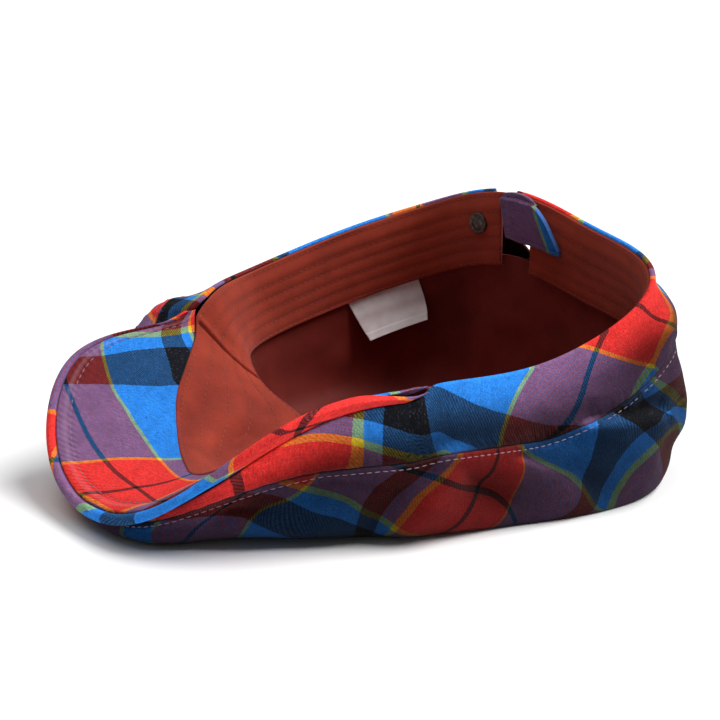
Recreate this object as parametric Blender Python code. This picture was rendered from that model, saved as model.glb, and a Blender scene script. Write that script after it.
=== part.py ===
"""A peaked flat cap in tartan flannel, lying upside down on its soft crown.

Metres, +Z up. The front points to -Y and the wearer's right side to +X.
Every piece of cloth is a closed slab cut from one of a few shared surfaces.
"""
import bpy
import numpy as np

for thing in list(bpy.data.objects):
    bpy.data.objects.remove(thing, do_unlink=True)

# Half width and half length of the head opening, and height of its back rim
HALF_WIDTH = 0.078
HALF_LENGTH = 0.1025
RIM_HEIGHT = 0.1025

# Cloths, gaps and small parts
CLOTH = 0.0013
RIM_ROLL = 0.0026
GAP = 0.0003
SEAM_GAP = 0.0009
HEM_GAP = 0.0020
PEAK_GAP = 0.0005
SNAP_GAP = 0.0005
PEAK_UNDER_THICK = 0.0012
PEAK_BOARD_THICK = 0.0022
PEAK_ROLL = 0.0023
CROWN_INSET = 0.0090
PEAK_FADE = 0.0070
PEAK_TAPER = 0.0100
BAND_THICK = 0.0012
BAND_TOP_DROP = 0.0030
LINING_THICK = 0.0010
LINING_FLOOR = 0.0030
LINING_BEHIND = 0.0017
NOTCH_WIDTH = 0.0140
NOTCH_DEPTH = 0.0280
TAB_THICK = 0.0024
SNAP_RADIUS = 0.0045
SNAP_THICK = 0.0016
LABEL_DROP = 0.0190
LABEL_LEAN = 0.0070
LABEL_THICK = 0.0005

# Typical spans that turn lengths into steps of turn and run
STATION_SPAN = 0.0480
WALL_SPAN = 0.1500
BACK_WALL = 0.0650

# Shares along the crown, from hem 0 to the centre of the floor patch 1
BELLY_AT = 0.45
FOOT_AT = 0.65
TOP_LAST = 0.97
ROLL_RUN = 0.03

# How the wall leaves the hem and how it meets the widest ring
HEM_DROP = 0.35
HEM_LEAN = 0.12
BELLY_RISE = 0.42

# Steps for slopes, and the least length that is divided by
TURN_STEP = 0.016
RUN_STEP = 0.004
PEAK_STEP = 0.02
TINY = 1e-9

# Shares along the lining, and how it hangs
LINING_START = 0.86
LINING_SPREAD = 0.55
LINING_HANG = 0.60
LINING_TURN = 0.25
LINING_WALL = 0.60

# Where things sit round the rim, in turns, and their depth as shares of the sweatband
PEAK_FIRST = 12.75
PEAK_LAST = 18.84
BAND_FIRST = 8.20
BAND_LAST = 23.80
TAB_FIRST = 8.16
TAB_LAST = 7.38
TAB_TOP = (0.08, 0.40)
TAB_LOW = (0.58, 0.62)
SNAP_AT = (8.36, 0.38)
LABEL_FIRST = 9.18
LABEL_LAST = 10.00
LABEL_START = 0.97

# Counts
SIDE_GRID = (41, 5)
TOP_GRID = (80, 14)
PEAK_COLUMNS = 36
PEAK_ROWS = 3
ROLL_STEPS = 10
BAND_GRID = (72, 4)
LINING_GRID = (56, 10)
TAB_GRID = (9, 4)
SNAP_SIDES = 20
LABEL_GRID = (9, 5)

# Plain colours for each material
RED = (0.60, 0.06, 0.10)
BLUE = (0.05, 0.22, 0.60)
RUST = (0.42, 0.09, 0.04)
DARK_RUST = (0.22, 0.03, 0.02)
WHITE = (0.80, 0.72, 0.70)
BRASS = (0.10, 0.06, 0.04)

# The opening, round the head: share across, share along, share up
OPENING = (
    ("front", -0.05, -1.06, 0.27),
    ("right tip", 0.34, -0.97, 0.34),
    ("right brow", 0.68, -0.77, 0.49),
    ("right corner", 0.91, -0.50, 0.58),
    ("right side", 1.01, -0.02, 0.575),
    ("right hip", 1.15, 0.40, 0.755),
    ("right heel", 0.92, 0.60, 0.87),
    ("right back", 0.44, 0.70, 0.91),
    ("back", -0.05, 0.66, 0.99),
    ("left heel", -0.57, 0.60, 0.89),
    ("left hip", -0.83, 0.27, 0.79),
    ("left side", -0.94, -0.18, 0.69),
    ("left corner", -0.80, -0.49, 0.68),
    ("left temple", -0.77, -0.62, 0.58),
    ("left brow", -0.63, -0.79, 0.46),
    ("left tip", -0.37, -0.95, 0.33),
)
# The outer edge of the peak beside the front stations, in the same shares
PEAK_EDGE = {
    "front": (-0.03, -1.47, 0.12),
    "right tip": (0.41, -1.33, 0.32),
    "right brow": (0.73, -1.00, 0.57),
    "left temple": (-0.84, -0.68, 0.58),
    "left brow": (-1.08, -1.03, 0.47),
    "left tip": (-0.72, -1.35, 0.16),
}
# The crown: widest ring across, along, up, then where it meets the floor
CROWN = {
    "front": (-0.03, -1.41, 0.045, -0.03, -1.30),
    "right tip": (0.37, -1.22, 0.12, 0.22, -1.03),
    "right brow": (0.74, -0.94, 0.18, 0.56, -0.75),
    "right corner": (1.05, -0.56, 0.20, 0.88, -0.48),
    "right side": (1.26, -0.08, 0.18, 1.14, -0.12),
    "right hip": (1.34, 0.32, 0.22, 1.26, 0.22),
    "right heel": (1.12, 0.66, 0.28, 1.06, 0.57),
    "right back": (0.58, 0.94, 0.36, 0.45, 0.74),
    "back": (-0.05, 0.98, 0.40, -0.05, 0.76),
    "left heel": (-0.76, 0.84, 0.38, -0.60, 0.66),
    "left hip": (-1.10, 0.40, 0.34, -0.92, 0.34),
    "left side": (-1.18, -0.16, 0.30, -1.00, -0.14),
    "left corner": (-1.12, -0.56, 0.30, -0.94, -0.50),
    "left temple": (-1.10, -0.76, 0.26, -0.92, -0.66),
    "left brow": (-1.02, -1.04, 0.20, -0.79, -0.90),
    "left tip": (-0.64, -1.31, 0.08, -0.47, -1.16),
}
# The free lower edge of the sweatband, in the same shares
BAND_LOW = {
    "front": (-0.03, -0.72, 0.08),
    "right tip": (0.26, -0.66, 0.11),
    "right brow": (0.50, -0.52, 0.20),
    "right corner": (0.74, -0.36, 0.30),
    "right side": (0.95, -0.05, 0.27),
    "right hip": (1.08, 0.37, 0.45),
    "right heel": (0.87, 0.57, 0.56),
    "right back": (0.43, 0.66, 0.59),
    "back": (-0.05, 0.62, 0.67),
    "left heel": (-0.54, 0.56, 0.57),
    "left hip": (-0.78, 0.26, 0.47),
    "left side": (-0.86, -0.15, 0.38),
    "left corner": (-0.66, -0.37, 0.38),
    "left temple": (-0.53, -0.43, 0.36),
    "left brow": (-0.38, -0.47, 0.28),
    "left tip": (-0.20, -0.58, 0.16),
}
STATIONS = tuple(row[0] for row in OPENING)
COUNT = len(STATIONS)
CORNER_RIGHT = float(STATIONS.index("right corner"))
CORNER_LEFT = float(STATIONS.index("left corner"))
BACK = float(STATIONS.index("back"))
SHARES = np.array((HALF_WIDTH, HALF_LENGTH, RIM_HEIGHT))
CENTRE = np.array((0.0, -0.2, 0.0)) * SHARES

# Seam between side panels and top panel, as a share of the way to the belly
SEAM_AT = (0.35, 0.50, 0.62, 0.66, 0.62, 0.55, 0.50, 0.60, 0.66, 0.60, 0.58, 0.60, 0.62, 0.58, 0.46, 0.38)

# Folds and dents: from turn, run, to turn, run, half width, height along the normal
FOLDS = (
    ("diagonal crease", 3.85, 0.30, 4.75, 0.58, 0.0095, -0.0050),
    ("pocket", 3.30, 0.46, 3.60, 0.54, 0.0130, -0.0050),
    ("hip bulge", 4.45, 0.34, 4.90, 0.42, 0.0150, 0.0035),
    ("slant ridge", 3.05, 0.34, 2.60, 0.56, 0.0095, 0.0030),
    ("heel ridge", 5.55, 0.30, 6.10, 0.48, 0.0110, 0.0025),
    ("brow dent", 1.90, 0.40, 2.40, 0.50, 0.0120, -0.0030),
    ("left crease", 11.30, 0.30, 11.90, 0.54, 0.0110, -0.0040),
    ("back crease", 7.20, 0.34, 7.70, 0.54, 0.0110, -0.0035),
    ("left bulge", 9.90, 0.36, 10.50, 0.46, 0.0160, 0.0030),
)


def around(values, turn):
    """Smooth closed curve through evenly numbered stations."""
    values = np.asarray(values, float)
    count = len(values)
    eye = np.eye(count)
    mix = 4 * eye + np.roll(eye, 1, 0) + np.roll(eye, -1, 0)
    second = np.roll(values, -1, 0) - 2 * values + np.roll(values, 1, 0)
    bend = np.linalg.solve(mix, 6 * second)
    turn = np.asarray(turn, float) % count
    first = np.floor(turn).astype(int) % count
    after = (first + 1) % count
    far = turn - np.floor(turn)
    if values.ndim > 1:
        far = far[..., None]
    near = 1 - far
    curve = values[first] * near + values[after] * far
    return curve + ((near**3 - near) * bend[first] + (far**3 - far) * bend[after]) / 6


OPENING_PTS = np.array([row[1:] for row in OPENING]) * SHARES
EDGE_PTS = np.array([PEAK_EDGE.get(row[0], row[1:]) for row in OPENING]) * SHARES
BELLY_PTS = np.array([CROWN[name][:3] for name in STATIONS]) * SHARES
FOOT_PTS = np.array([CROWN[name][3:] + (0.0,) for name in STATIONS]) * SHARES
LOW_PTS = np.array([BAND_LOW[name] for name in STATIONS]) * SHARES


def unit(vectors):
    """Vectors of length one."""
    length = np.linalg.norm(vectors, axis=-1, keepdims=True)
    return vectors / np.maximum(length, TINY)


def smooth(share):
    """A soft step from 0 to 1."""
    share = np.clip(share, 0, 1)
    return share * share * (3 - 2 * share)


def peak_top(turn, reach):
    """Underside of the peak, which faces up here: reach 0 at the head, 1 at the edge."""
    root = around(OPENING_PTS, turn)
    edge = around(EDGE_PTS, turn)
    reach = np.asarray(reach, float)[..., None]
    return root + (edge - root) * reach


def peak_depth(turn):
    """Length of the peak from the head to its edge."""
    gap = around(EDGE_PTS, turn) - around(OPENING_PTS, turn)
    return np.linalg.norm(gap, axis=-1)


def held(turn):
    """1 where the crown is laid on the peak, 0 round the sides and back."""
    turn = np.asarray(turn, float) % COUNT
    front = (turn < CORNER_RIGHT) | (turn > CORNER_LEFT)
    return front * smooth(peak_depth(turn) / PEAK_FADE)


def peak_normal(turn, reach):
    """Points down and out of the peak, away from its visible underside."""
    along = peak_top(turn + PEAK_STEP, reach) - peak_top(turn - PEAK_STEP, reach)
    out = peak_top(turn, reach + PEAK_STEP) - peak_top(turn, reach - PEAK_STEP)
    return unit(np.cross(along, out))


def hem(turn):
    """Top edge of the crown: on the rim at the sides, laid on the peak at the front."""
    turn = np.asarray(turn, float)
    inset = CROWN_INSET / np.maximum(peak_depth(turn), CLOTH)
    reach = np.clip(1 - inset, 0, 1) * (held(turn) > 0)
    below = PEAK_UNDER_THICK + PEAK_BOARD_THICK + HEM_GAP
    down = peak_normal(turn, reach)
    return peak_top(turn, reach) + down * (below * held(turn))[..., None]


def crown_plain(turn, run):
    """Outside of the crown without its folds."""
    top = hem(turn)
    belly = around(BELLY_PTS, turn)
    foot = around(FOOT_PTS, turn)
    level = np.array((1.0, 1.0, 0))
    upright = 1 - level
    drop = (top - belly) * upright
    lean = (belly - top) * level
    one = top - HEM_DROP * drop + HEM_LEAN * lean
    two = belly + BELLY_RISE * drop
    share = np.clip(run / BELLY_AT, 0, 1)[..., None]
    rest = 1 - share
    wall = rest**3 * top + 3 * rest**2 * share * one + 3 * rest * share**2 * two + share**3 * belly
    angle = np.clip((run - BELLY_AT) / (FOOT_AT - BELLY_AT), 0, 1)[..., None] * np.pi / 2
    tuck = foot + (belly - foot) * level * np.cos(angle)
    tuck = tuck + (belly - foot) * upright * (1 - np.sin(angle))
    inward = np.clip((run - FOOT_AT) / (1 - FOOT_AT), 0, 1)[..., None]
    flat = foot + (CENTRE - foot) * inward
    run = run[..., None]
    return np.where(run < BELLY_AT, wall, np.where(run < FOOT_AT, tuck, flat))


def fold_height(turn, run):
    """Height of all folds together; none at the hem, and none where the floor is."""
    total = np.zeros(np.broadcast(turn, run).shape)
    for _, turn_a, run_a, turn_b, run_b, width, height in FOLDS:
        away = (turn - turn_a + COUNT / 2) % COUNT - COUNT / 2
        x = away * STATION_SPAN
        y = (run - run_a) * WALL_SPAN
        across = (turn_b - turn_a) * STATION_SPAN
        down = (run_b - run_a) * WALL_SPAN
        share = np.clip((x * across + y * down) / (across**2 + down**2), 0, 1)
        apart = (x - share * across) ** 2 + (y - share * down) ** 2
        total = total + height * np.exp(-apart / width**2)
    fade = smooth(run / (BELLY_AT / 2)) * smooth((FOOT_AT - run) / (FOOT_AT - BELLY_AT))
    return total * fade


def crown(turn, run):
    """Outside of the crown: run 0 at the hem, 1 at the centre of the floor patch."""
    turn, run = np.broadcast_arrays(np.asarray(turn, float), np.asarray(run, float))
    out = normal(crown_plain, turn, run)
    return crown_plain(turn, run) + out * fold_height(turn, run)[..., None]


def normal(surface, turn, run):
    """Outward normal of a surface, by central differences."""
    along = surface(turn + TURN_STEP, run) - surface(turn - TURN_STEP, run)
    below = surface(turn, np.minimum(run + RUN_STEP, 1))
    down = below - surface(turn, np.maximum(run - RUN_STEP, 0))
    return unit(np.cross(down, along))


def sunk(surface, turn, run, depth):
    """Point of a surface moved inwards by depth."""
    return surface(turn, run) - normal(surface, turn, run) * np.asarray(depth)[..., None]


def seam(turn):
    """Run of the seam between the side panels and the top panel."""
    return around(np.array(SEAM_AT), turn) * BELLY_AT


def seam_gap(turn):
    """The gap at that seam as a share of the run, which is short at the front."""
    wall = np.linalg.norm(hem(turn) - around(BELLY_PTS, turn), axis=-1)
    return SEAM_GAP * BELLY_AT / wall


def roll_under(turn, run):
    """Depth of the outer cloth, more where it turns over at the rim."""
    over = (1 - held(turn)) * smooth(1 - run / ROLL_RUN)
    return CLOTH + (RIM_ROLL - CLOTH) * over


def slab_faces(rows, columns, closed):
    """Quads of one sheet of a slab, and its border as a list of point numbers."""
    last = columns if closed else columns - 1
    faces = []
    for row in range(rows - 1):
        for column in range(last):
            side = (column + 1) % columns
            a = row * columns + column
            b = row * columns + side
            faces.append((a, b, b + columns, a + columns))
    return faces


def slab(name, outer, inner, colour, closed=False, capped=False):
    """A closed body between two grids of points of the same size (rows, columns, 3)."""
    rows, columns = outer.shape[:2]
    count = rows * columns
    points = np.concatenate((outer.reshape(-1, 3), inner.reshape(-1, 3)))
    sheet = slab_faces(rows, columns, closed)
    faces = [tuple(face) for face in sheet]
    faces += [tuple(index + count for index in reversed(face)) for face in sheet]
    rims = []
    top = list(range(columns))
    low = [(rows - 1) * columns + column for column in range(columns)]
    if closed:
        rims.append(list(reversed(top + top[:1])))
        if capped:
            tips = (len(points), len(points) + 1)
            points = np.concatenate((points, outer[-1].mean(0)[None], inner[-1].mean(0)[None]))
            ring = low + low[:1]
            for here, there in zip(ring[:-1], ring[1:]):
                faces.append((here, there, tips[0]))
                faces.append((there + count, here + count, tips[1]))
        else:
            rims.append(low + low[:1])
    else:
        right = [row * columns + columns - 1 for row in range(rows)]
        left = [row * columns for row in range(rows)]
        rims.append(list(reversed(top)) + left[1:] + low[1:] + list(reversed(right))[1:])
    for rim in rims:
        for here, there in zip(rim[:-1], rim[1:]):
            faces.append((here, there, there + count, here + count))
    return body(name, points, faces, colour)


def body(name, points, faces, colour):
    """One object of its own from points and faces, turned to face outwards."""
    points = np.asarray(points, float)
    volume = 0.0
    for face in faces:
        for corner in range(1, len(face) - 1):
            trio = points[[face[0], face[corner], face[corner + 1]]]
            volume += np.linalg.det(trio)
    if volume < 0:
        faces = [tuple(reversed(face)) for face in faces]
    mesh = bpy.data.meshes.new(name)
    mesh.from_pydata([tuple(point) for point in points], [], faces)
    mesh.update()
    thing = bpy.data.objects.new(name, mesh)
    bpy.context.scene.collection.objects.link(thing)
    material = bpy.data.materials.new(name)
    material.use_nodes = True
    shader = material.node_tree.nodes["Principled BSDF"]
    shader.inputs["Base Color"].default_value = (*colour, 1.0)
    shader.inputs["Roughness"].default_value = 0.9
    mesh.materials.append(material)
    return thing


def sweep(name, rings, colour):
    """A closed body from outlines of equal size, one after another, capped at both ends."""
    columns, sides = rings.shape[:2]
    faces = slab_faces(columns, sides, True)
    faces.append(tuple(reversed(range(sides))))
    faces.append(tuple(range((columns - 1) * sides, columns * sides)))
    return body(name, rings.reshape(-1, 3), faces, colour)


def inward(turn):
    """Level direction from the rim towards the middle of the opening."""
    along = around(OPENING_PTS, turn + TURN_STEP) - around(OPENING_PTS, turn - TURN_STEP)
    along[..., 2] = 0
    return unit(np.cross(np.array((0, 0, 1.0)), along))


def band(turn, share):
    """Visible face of the sweatband: share 0 at the rim, 1 at its free lower edge."""
    turn, share = np.broadcast_arrays(np.asarray(turn, float), np.asarray(share, float))
    side = 1 - held(turn)
    inset = BAND_THICK + GAP + side * RIM_ROLL
    top = around(OPENING_PTS, turn) + inward(turn) * inset[..., None]
    top = top - np.array((0, 0, 1.0)) * (BAND_TOP_DROP * side)[..., None]
    return top + (around(LOW_PTS, turn) - top) * share[..., None]


def lining(turn, run):
    """Face of the lining: from behind the sweatband down to its own floor."""
    turn, run = np.broadcast_arrays(np.asarray(turn, float), np.asarray(run, float))
    back = normal(band, turn, np.full_like(turn, LINING_START))
    start = band(turn, LINING_START) + back * (BAND_THICK + LINING_BEHIND)
    low = around(LOW_PTS, turn)
    foot = low + (around(FOOT_PTS, turn) - low) * LINING_SPREAD
    foot[..., 2] = LINING_FLOOR
    middle = CENTRE + np.array((0, 0, LINING_FLOOR))
    one = start - (start - foot) * np.array((0, 0, LINING_HANG))
    three = foot + (middle - foot) * LINING_TURN
    share = np.clip(run / LINING_WALL, 0, 1)[..., None]
    rest = 1 - share
    wall = rest**3 * start + 3 * rest**2 * share * one
    wall = wall + 3 * rest * share**2 * foot + share**3 * three
    over = np.clip((run - LINING_WALL) / (1 - LINING_WALL), 0, 1)[..., None]
    flat = three + (middle - three) * over
    return np.where(run[..., None] < LINING_WALL, wall, flat)


def label(turn, share):
    """Care label: caught behind the sweatband's lower edge, hanging free below it."""
    turn, share = np.broadcast_arrays(np.asarray(turn, float), np.asarray(share, float))
    back = normal(band, turn, np.full_like(turn, 1.0)) * (BAND_THICK + 2 * GAP)
    share = share[..., None]
    fall = inward(turn) * LABEL_LEAN * share**2 - np.array((0, 0, LABEL_DROP)) * share
    return band(turn, LABEL_START) + back + fall


def grid(first, last, columns, rows):
    """Turn and row share for every point of a grid, rows down, columns along."""
    return np.meshgrid(np.linspace(first, last, columns), np.linspace(0, 1, rows))


def notch_half(run):
    """Half width of the slot at the back, in turns, at a depth below the rim."""
    bottom = NOTCH_DEPTH / BACK_WALL * BELLY_AT
    left = np.clip(1 - (run / bottom) ** 2, 0, 1)
    return NOTCH_WIDTH / 2 / STATION_SPAN * np.sqrt(left)


def side_panel(name, first, last, slot, colour):
    """Crescent between the hem and the top panel; slot is 0 or 1, the end at the back."""
    along, share = grid(0, 1, *SIDE_GRID)
    run = share * seam(first + (last - first) * along)
    start = first + (1 - slot) * notch_half(run)
    stop = last - slot * notch_half(run)
    turn = start + (stop - start) * along
    run = share * (seam(turn) - seam_gap(turn) / 2)
    return slab(name, crown(turn, run), sunk(crown, turn, run, roll_under(turn, run)), colour)


FULL = float(COUNT)
END_GAP = SEAM_GAP / STATION_SPAN

# The two side panels meet at the front and leave the slot open at the back
side_panel("side_panel_right", END_GAP, BACK - END_GAP, 1, RED)
side_panel("side_panel_left", BACK + END_GAP, FULL - END_GAP, 0, RED)

# The top panel, from its seam round under the cap
turn, share = grid(0, FULL, TOP_GRID[0] + 1, TOP_GRID[1])
turn, share = turn[:, :-1], share[:, :-1]
first = seam(turn) + seam_gap(turn) / 2
run = first + (TOP_LAST - first) * share
under = sunk(crown, turn, run, np.full_like(run, CLOTH))
slab("top_panel", crown(turn, run), under, BLUE, True, True)

# The peak: the cloth on its underside, which faces up here
turn, share = grid(PEAK_FIRST, PEAK_LAST, PEAK_COLUMNS, PEAK_ROWS)
depth = peak_depth(turn)
thin = np.clip(depth / PEAK_TAPER, 0, 1)
roll = PEAK_ROLL * thin
near = 2 * GAP / depth
far = 1 - (2 * roll + GAP) / depth
reach = near + (far - near) * share
top = peak_top(turn, reach)
down = peak_normal(turn, reach)
slab("peak_under", top, top + down * (PEAK_UNDER_THICK * thin)[..., None], RED)

# The peak's outer cloth over its board, with the rolled edge standing up round it
low = PEAK_UNDER_THICK * thin + PEAK_GAP
back = PEAK_UNDER_THICK + PEAK_BOARD_THICK
rings = list(top + down * low[..., None])
rings.append(top[-1] + down[-1] * (back * thin[-1] + GAP)[..., None])
first_angle = np.arcsin(PEAK_UNDER_THICK / PEAK_ROLL - 1)
last_angle = np.arcsin(back / PEAK_ROLL - 1)
for angle in np.linspace(first_angle, -np.pi - last_angle, ROLL_STEPS):
    away = roll[0] * (1 + np.cos(angle))
    sunken = roll[0] * (1 + np.sin(angle))
    reach = 1 - away / depth[0]
    rings.insert(-1, peak_top(turn[0], reach) + peak_normal(turn[0], reach) * sunken[..., None])
rings[-1] = top[0] + down[0] * (back * thin[0] + GAP)[..., None]
sweep("peak_upper", np.stack(rings, 1), RED)

# The sweatband, open at the slot
turn, share = grid(BAND_FIRST, BAND_LAST, *BAND_GRID)
face = band(turn, share)
slab("sweatband", face, face + normal(band, turn, share) * BAND_THICK, RUST)

# The lining, a loose bag that hangs inside
turn, share = grid(0, FULL, LINING_GRID[0] + 1, LINING_GRID[1])
turn, run = turn[:, :-1], share[:, :-1] * TOP_LAST
face = lining(turn, run)
slab("lining", face, face + normal(lining, turn, run) * LINING_THICK, DARK_RUST, True, True)

# The closing tab, which crosses the slot on the inside
turn, share = grid(TAB_FIRST, TAB_LAST, *TAB_GRID)
along = (turn - TAB_FIRST) / (TAB_LAST - TAB_FIRST)
upper = TAB_TOP[0] + (TAB_TOP[1] - TAB_TOP[0]) * along
lower = TAB_LOW[0] + (TAB_LOW[1] - TAB_LOW[0]) * along
share = upper + (lower - upper) * share
face = band(turn, share)
out = normal(band, turn, share)
slab("closure_tab", face - out * (GAP + TAB_THICK), face - out * GAP, BLUE)

# The snap beside the slot
turn, share = (np.array([value]) for value in SNAP_AT)
middle, out = band(turn, share)[0], normal(band, turn, share)[0]
across = unit(np.cross(out, np.array((0, 0, 1.0))))
upright = np.cross(out, across)
angles = np.linspace(0, 2 * np.pi, SNAP_SIDES + 1)[:-1, None]
ring = middle + SNAP_RADIUS * (np.cos(angles) * across + np.sin(angles) * upright)
sweep("snap", np.stack((ring - out * SNAP_GAP, ring - out * (SNAP_GAP + SNAP_THICK))), BRASS)

# The bare care label
turn, share = grid(LABEL_FIRST, LABEL_LAST, *LABEL_GRID)
face = label(turn, share)
slab("care_label", face, face + normal(label, turn, share) * LABEL_THICK, WHITE)

# The origin goes to the middle of the underside of the whole cap
things = list(bpy.context.scene.collection.objects)
corners = np.array([vertex.co for thing in things for vertex in thing.data.vertices])
shift = (corners.min(0) + corners.max(0)) / 2
shift[2] = corners[:, 2].min()
for thing in things:
    for vertex in thing.data.vertices:
        vertex.co = [value - move for value, move in zip(vertex.co, shift)]
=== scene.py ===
"""Looks of a peaked flat cap in brushed tartan, lying upside down on its soft crown.

Lengths are in metres. The front points to -Y and the wearer's right side to +X. Cloth maps are in
millimetres of cloth, so that the checks, the twill and the stitches keep their real size.
"""

import bpy
import numpy as np
from mathutils import Matrix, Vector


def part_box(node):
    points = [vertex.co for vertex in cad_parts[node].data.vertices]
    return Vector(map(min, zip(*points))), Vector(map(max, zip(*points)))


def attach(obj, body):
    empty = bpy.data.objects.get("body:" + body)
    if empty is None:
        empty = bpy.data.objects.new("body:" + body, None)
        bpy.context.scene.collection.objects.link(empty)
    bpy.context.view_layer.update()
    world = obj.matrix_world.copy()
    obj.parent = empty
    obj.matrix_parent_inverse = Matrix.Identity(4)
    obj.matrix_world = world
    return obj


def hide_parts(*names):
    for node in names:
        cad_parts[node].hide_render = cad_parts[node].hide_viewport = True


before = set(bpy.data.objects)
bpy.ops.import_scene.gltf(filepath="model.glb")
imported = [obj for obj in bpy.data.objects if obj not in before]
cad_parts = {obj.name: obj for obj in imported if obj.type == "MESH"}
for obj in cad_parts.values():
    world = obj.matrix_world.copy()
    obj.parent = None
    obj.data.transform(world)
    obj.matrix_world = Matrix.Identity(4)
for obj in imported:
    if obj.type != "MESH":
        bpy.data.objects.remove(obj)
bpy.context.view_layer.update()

bl_info = {
    "name": "Peaked Flat Cap",
    "version": (1, 0, 0),
    "blender": (4, 5, 0),
    "location": "View3D > Sidebar > Cap",
    "description": "Makes a tartan flat cap that lies upside down on its crown",
    "category": "Object",
}

# Half width and half length of the head opening, and height of its back rim
HALF_WIDTH = 0.078
HALF_LENGTH = 0.1025
RIM_HEIGHT = 0.1025

# Cloths, gaps and small parts; SNAP_GAP_CAD is the gap under the solid that the finished snap replaces
CLOTH = 0.0013
RIM_ROLL = 0.0026
GAP = 0.0003
HEM_GAP = 0.0010
PEAK_GAP = 0.0002
SNAP_GAP = 0.0003
SNAP_GAP_CAD = 0.0005
PEAK_UNDER_THICK = 0.0012
PEAK_BOARD_THICK = 0.0022
PEAK_ROLL = 0.0023
CROWN_INSET = 0.0090
PEAK_FADE = 0.0070
PEAK_TAPER = 0.0100
BAND_THICK = 0.0012
BAND_TOP_DROP = 0.0030
LINING_THICK = 0.0010
LINING_FLOOR = 0.0030
LINING_BEHIND = 0.0017
NOTCH_WIDTH = 0.0140
NOTCH_DEPTH = 0.0400
SLOT = 8.08
TAB_THICK = 0.0024
SNAP_RADIUS = 0.0045
SNAP_THICK = 0.0016
LABEL_DROP = 0.0190
LABEL_LEAN = 0.0070
LABEL_THICK = 0.0005

# Typical spans that turn lengths into steps of turn and run
STATION_SPAN = 0.0480
WALL_SPAN = 0.1500
BACK_WALL = 0.0650

# Shares along the crown, from hem 0 to the centre of the floor patch 1
BELLY_AT = 0.45
FOOT_AT = 0.65
TOP_LAST = 0.97
ROLL_RUN = 0.03
HEM_DROP = 0.35
HEM_LEAN = 0.12
BELLY_RISE = 0.42
TURN_STEP = 0.016
RUN_STEP = 0.004
PEAK_STEP = 0.02
TINY = 1e-9

# Shares along the lining, and how it hangs
LINING_START = 0.86
LINING_SPREAD = 0.55
LINING_HANG = 0.60
LINING_TURN = 0.25
LINING_WALL = 0.60

# Where things sit round the rim, in turns, and their depth as shares of the sweatband
PEAK_FIRST = 12.75
PEAK_LAST = 18.84
BAND_FIRST = 8.08
BAND_LAST = 23.71
SNAP_AT = (8.36, 0.38)
LABEL_FIRST = 9.18
LABEL_LAST = 10.00
LABEL_START = 0.97
LABEL_SKEW = 0.18

# Reliefs at an edge: height, distance from the edge and half width
SEAM_PUFF = (0.00035, 0.0026, 0.0016)
SEAM_GROOVE = (0.00040, 0.0022, 0.0005)
PEAK_PUFF = (0.00025, 0.0030, 0.0020)
PEAK_GROOVE = (0.00035, 0.0058, 0.0005)
TAB_GROOVE = (0.00030, 0.0020, 0.0004)
# How the seam pulls the cloth: height, length of a wave in millimetres, and how far it is felt
SEAM_PULL, PULL_WAVE, PULL_FADE = 0.00016, 7.3, 0.005
SEAM_HALF = 0.0001

# Unevenness of the soft cloths: height, size of the lumps and seed
CROWN_SLACK = ((0.0007, 0.021, 3), (0.0003, 0.009, 5))
PEAK_SLACK = ((0.00035, 0.014, 7), (0.00012, 0.006, 9))

# Painted shade low in the cloth's colour: where it starts and over how much it grows, for the way the cloth faces,
# its drop below the hem and its height above the floor; then the most of it, and how deep a fold is dark
SHADE_FACING = (1.10, 0.6)
SHADE_DROP = (0.001, 0.018)
SHADE_FLOOR = (0.034, 0.030)
SHADE_MOST = 0.92
SHADE_FOLD = 0.0062
# Painted shade along the seam: how much of it, and how far it reaches
SHADE_TUCK = (0.35, 0.0015)

# The sweatband: its rows of stitching, its padding, and the turns between which it lies on the peak
BAND_ROWS = (0.05, 0.24, 0.42, 0.60, 0.78, 0.95)
BAND_PUFF = 0.00032
BAND_ON_PEAK = (13.0, 19.0, 0.8)
# Painted shade that dims the sweatband's lit front on the peak: first turn, last turn and fade
BAND_FRONT_SHADE = (13.4, 18.8, 0.8)
BAND_CREASE = (-0.0016, 13.05, 0.055)
BAND_WIDER = (0.014, 14.7, 0.75)
BAND_DRAG = (0.0011, 15.2, 0.8)
BAND_LIFT = 0.0009

# The peak's rolled edge thins to a tip: from this turn, over this many turns, by this share, this much lower
TIP_FROM, TIP_OVER, TIP_THIN, TIP_DROP = 18.25, 0.59, 0.85, 0.0015

# The stage: half the floor's side, the picture's side in pixels, the sensor, and where the photo has the
# middle of the cap, in pixels right of and below its own middle; then each lamp's place, spread and share
FLOOR_HALF = 6.0
PICTURE = 720
SENSOR = 36.0
MIDDLE = (45, 98)
LAMPS = (("key", (0.55, 0.62, 1.05), 0.75, 1.0), ("top", (-0.25, -0.20, 1.35), 0.95, 0.26))

# The opening, round the head: share across, share along, share up
OPENING = (
    ("front", -0.05, -1.06, 0.27),
    ("right tip", 0.34, -0.97, 0.34),
    ("right brow", 0.68, -0.77, 0.49),
    ("right corner", 0.91, -0.50, 0.58),
    ("right side", 1.01, -0.02, 0.575),
    ("right hip", 1.15, 0.40, 0.755),
    ("right heel", 0.92, 0.60, 0.87),
    ("right back", 0.44, 0.70, 0.91),
    ("back", -0.05, 0.66, 0.99),
    ("left heel", -0.57, 0.60, 0.89),
    ("left hip", -0.83, 0.27, 0.79),
    ("left side", -0.94, -0.18, 0.69),
    ("left corner", -0.80, -0.49, 0.68),
    ("left temple", -0.77, -0.62, 0.58),
    ("left brow", -0.63, -0.79, 0.46),
    ("left tip", -0.37, -0.95, 0.33),
)
# The outer edge of the peak beside the front stations, in the same shares
PEAK_EDGE = {
    "front": (-0.03, -1.47, 0.12),
    "right tip": (0.41, -1.33, 0.32),
    "right brow": (0.73, -1.00, 0.57),
    "left temple": (-0.84, -0.68, 0.58),
    "left brow": (-1.08, -1.03, 0.47),
    "left tip": (-0.72, -1.35, 0.16),
}
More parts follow.
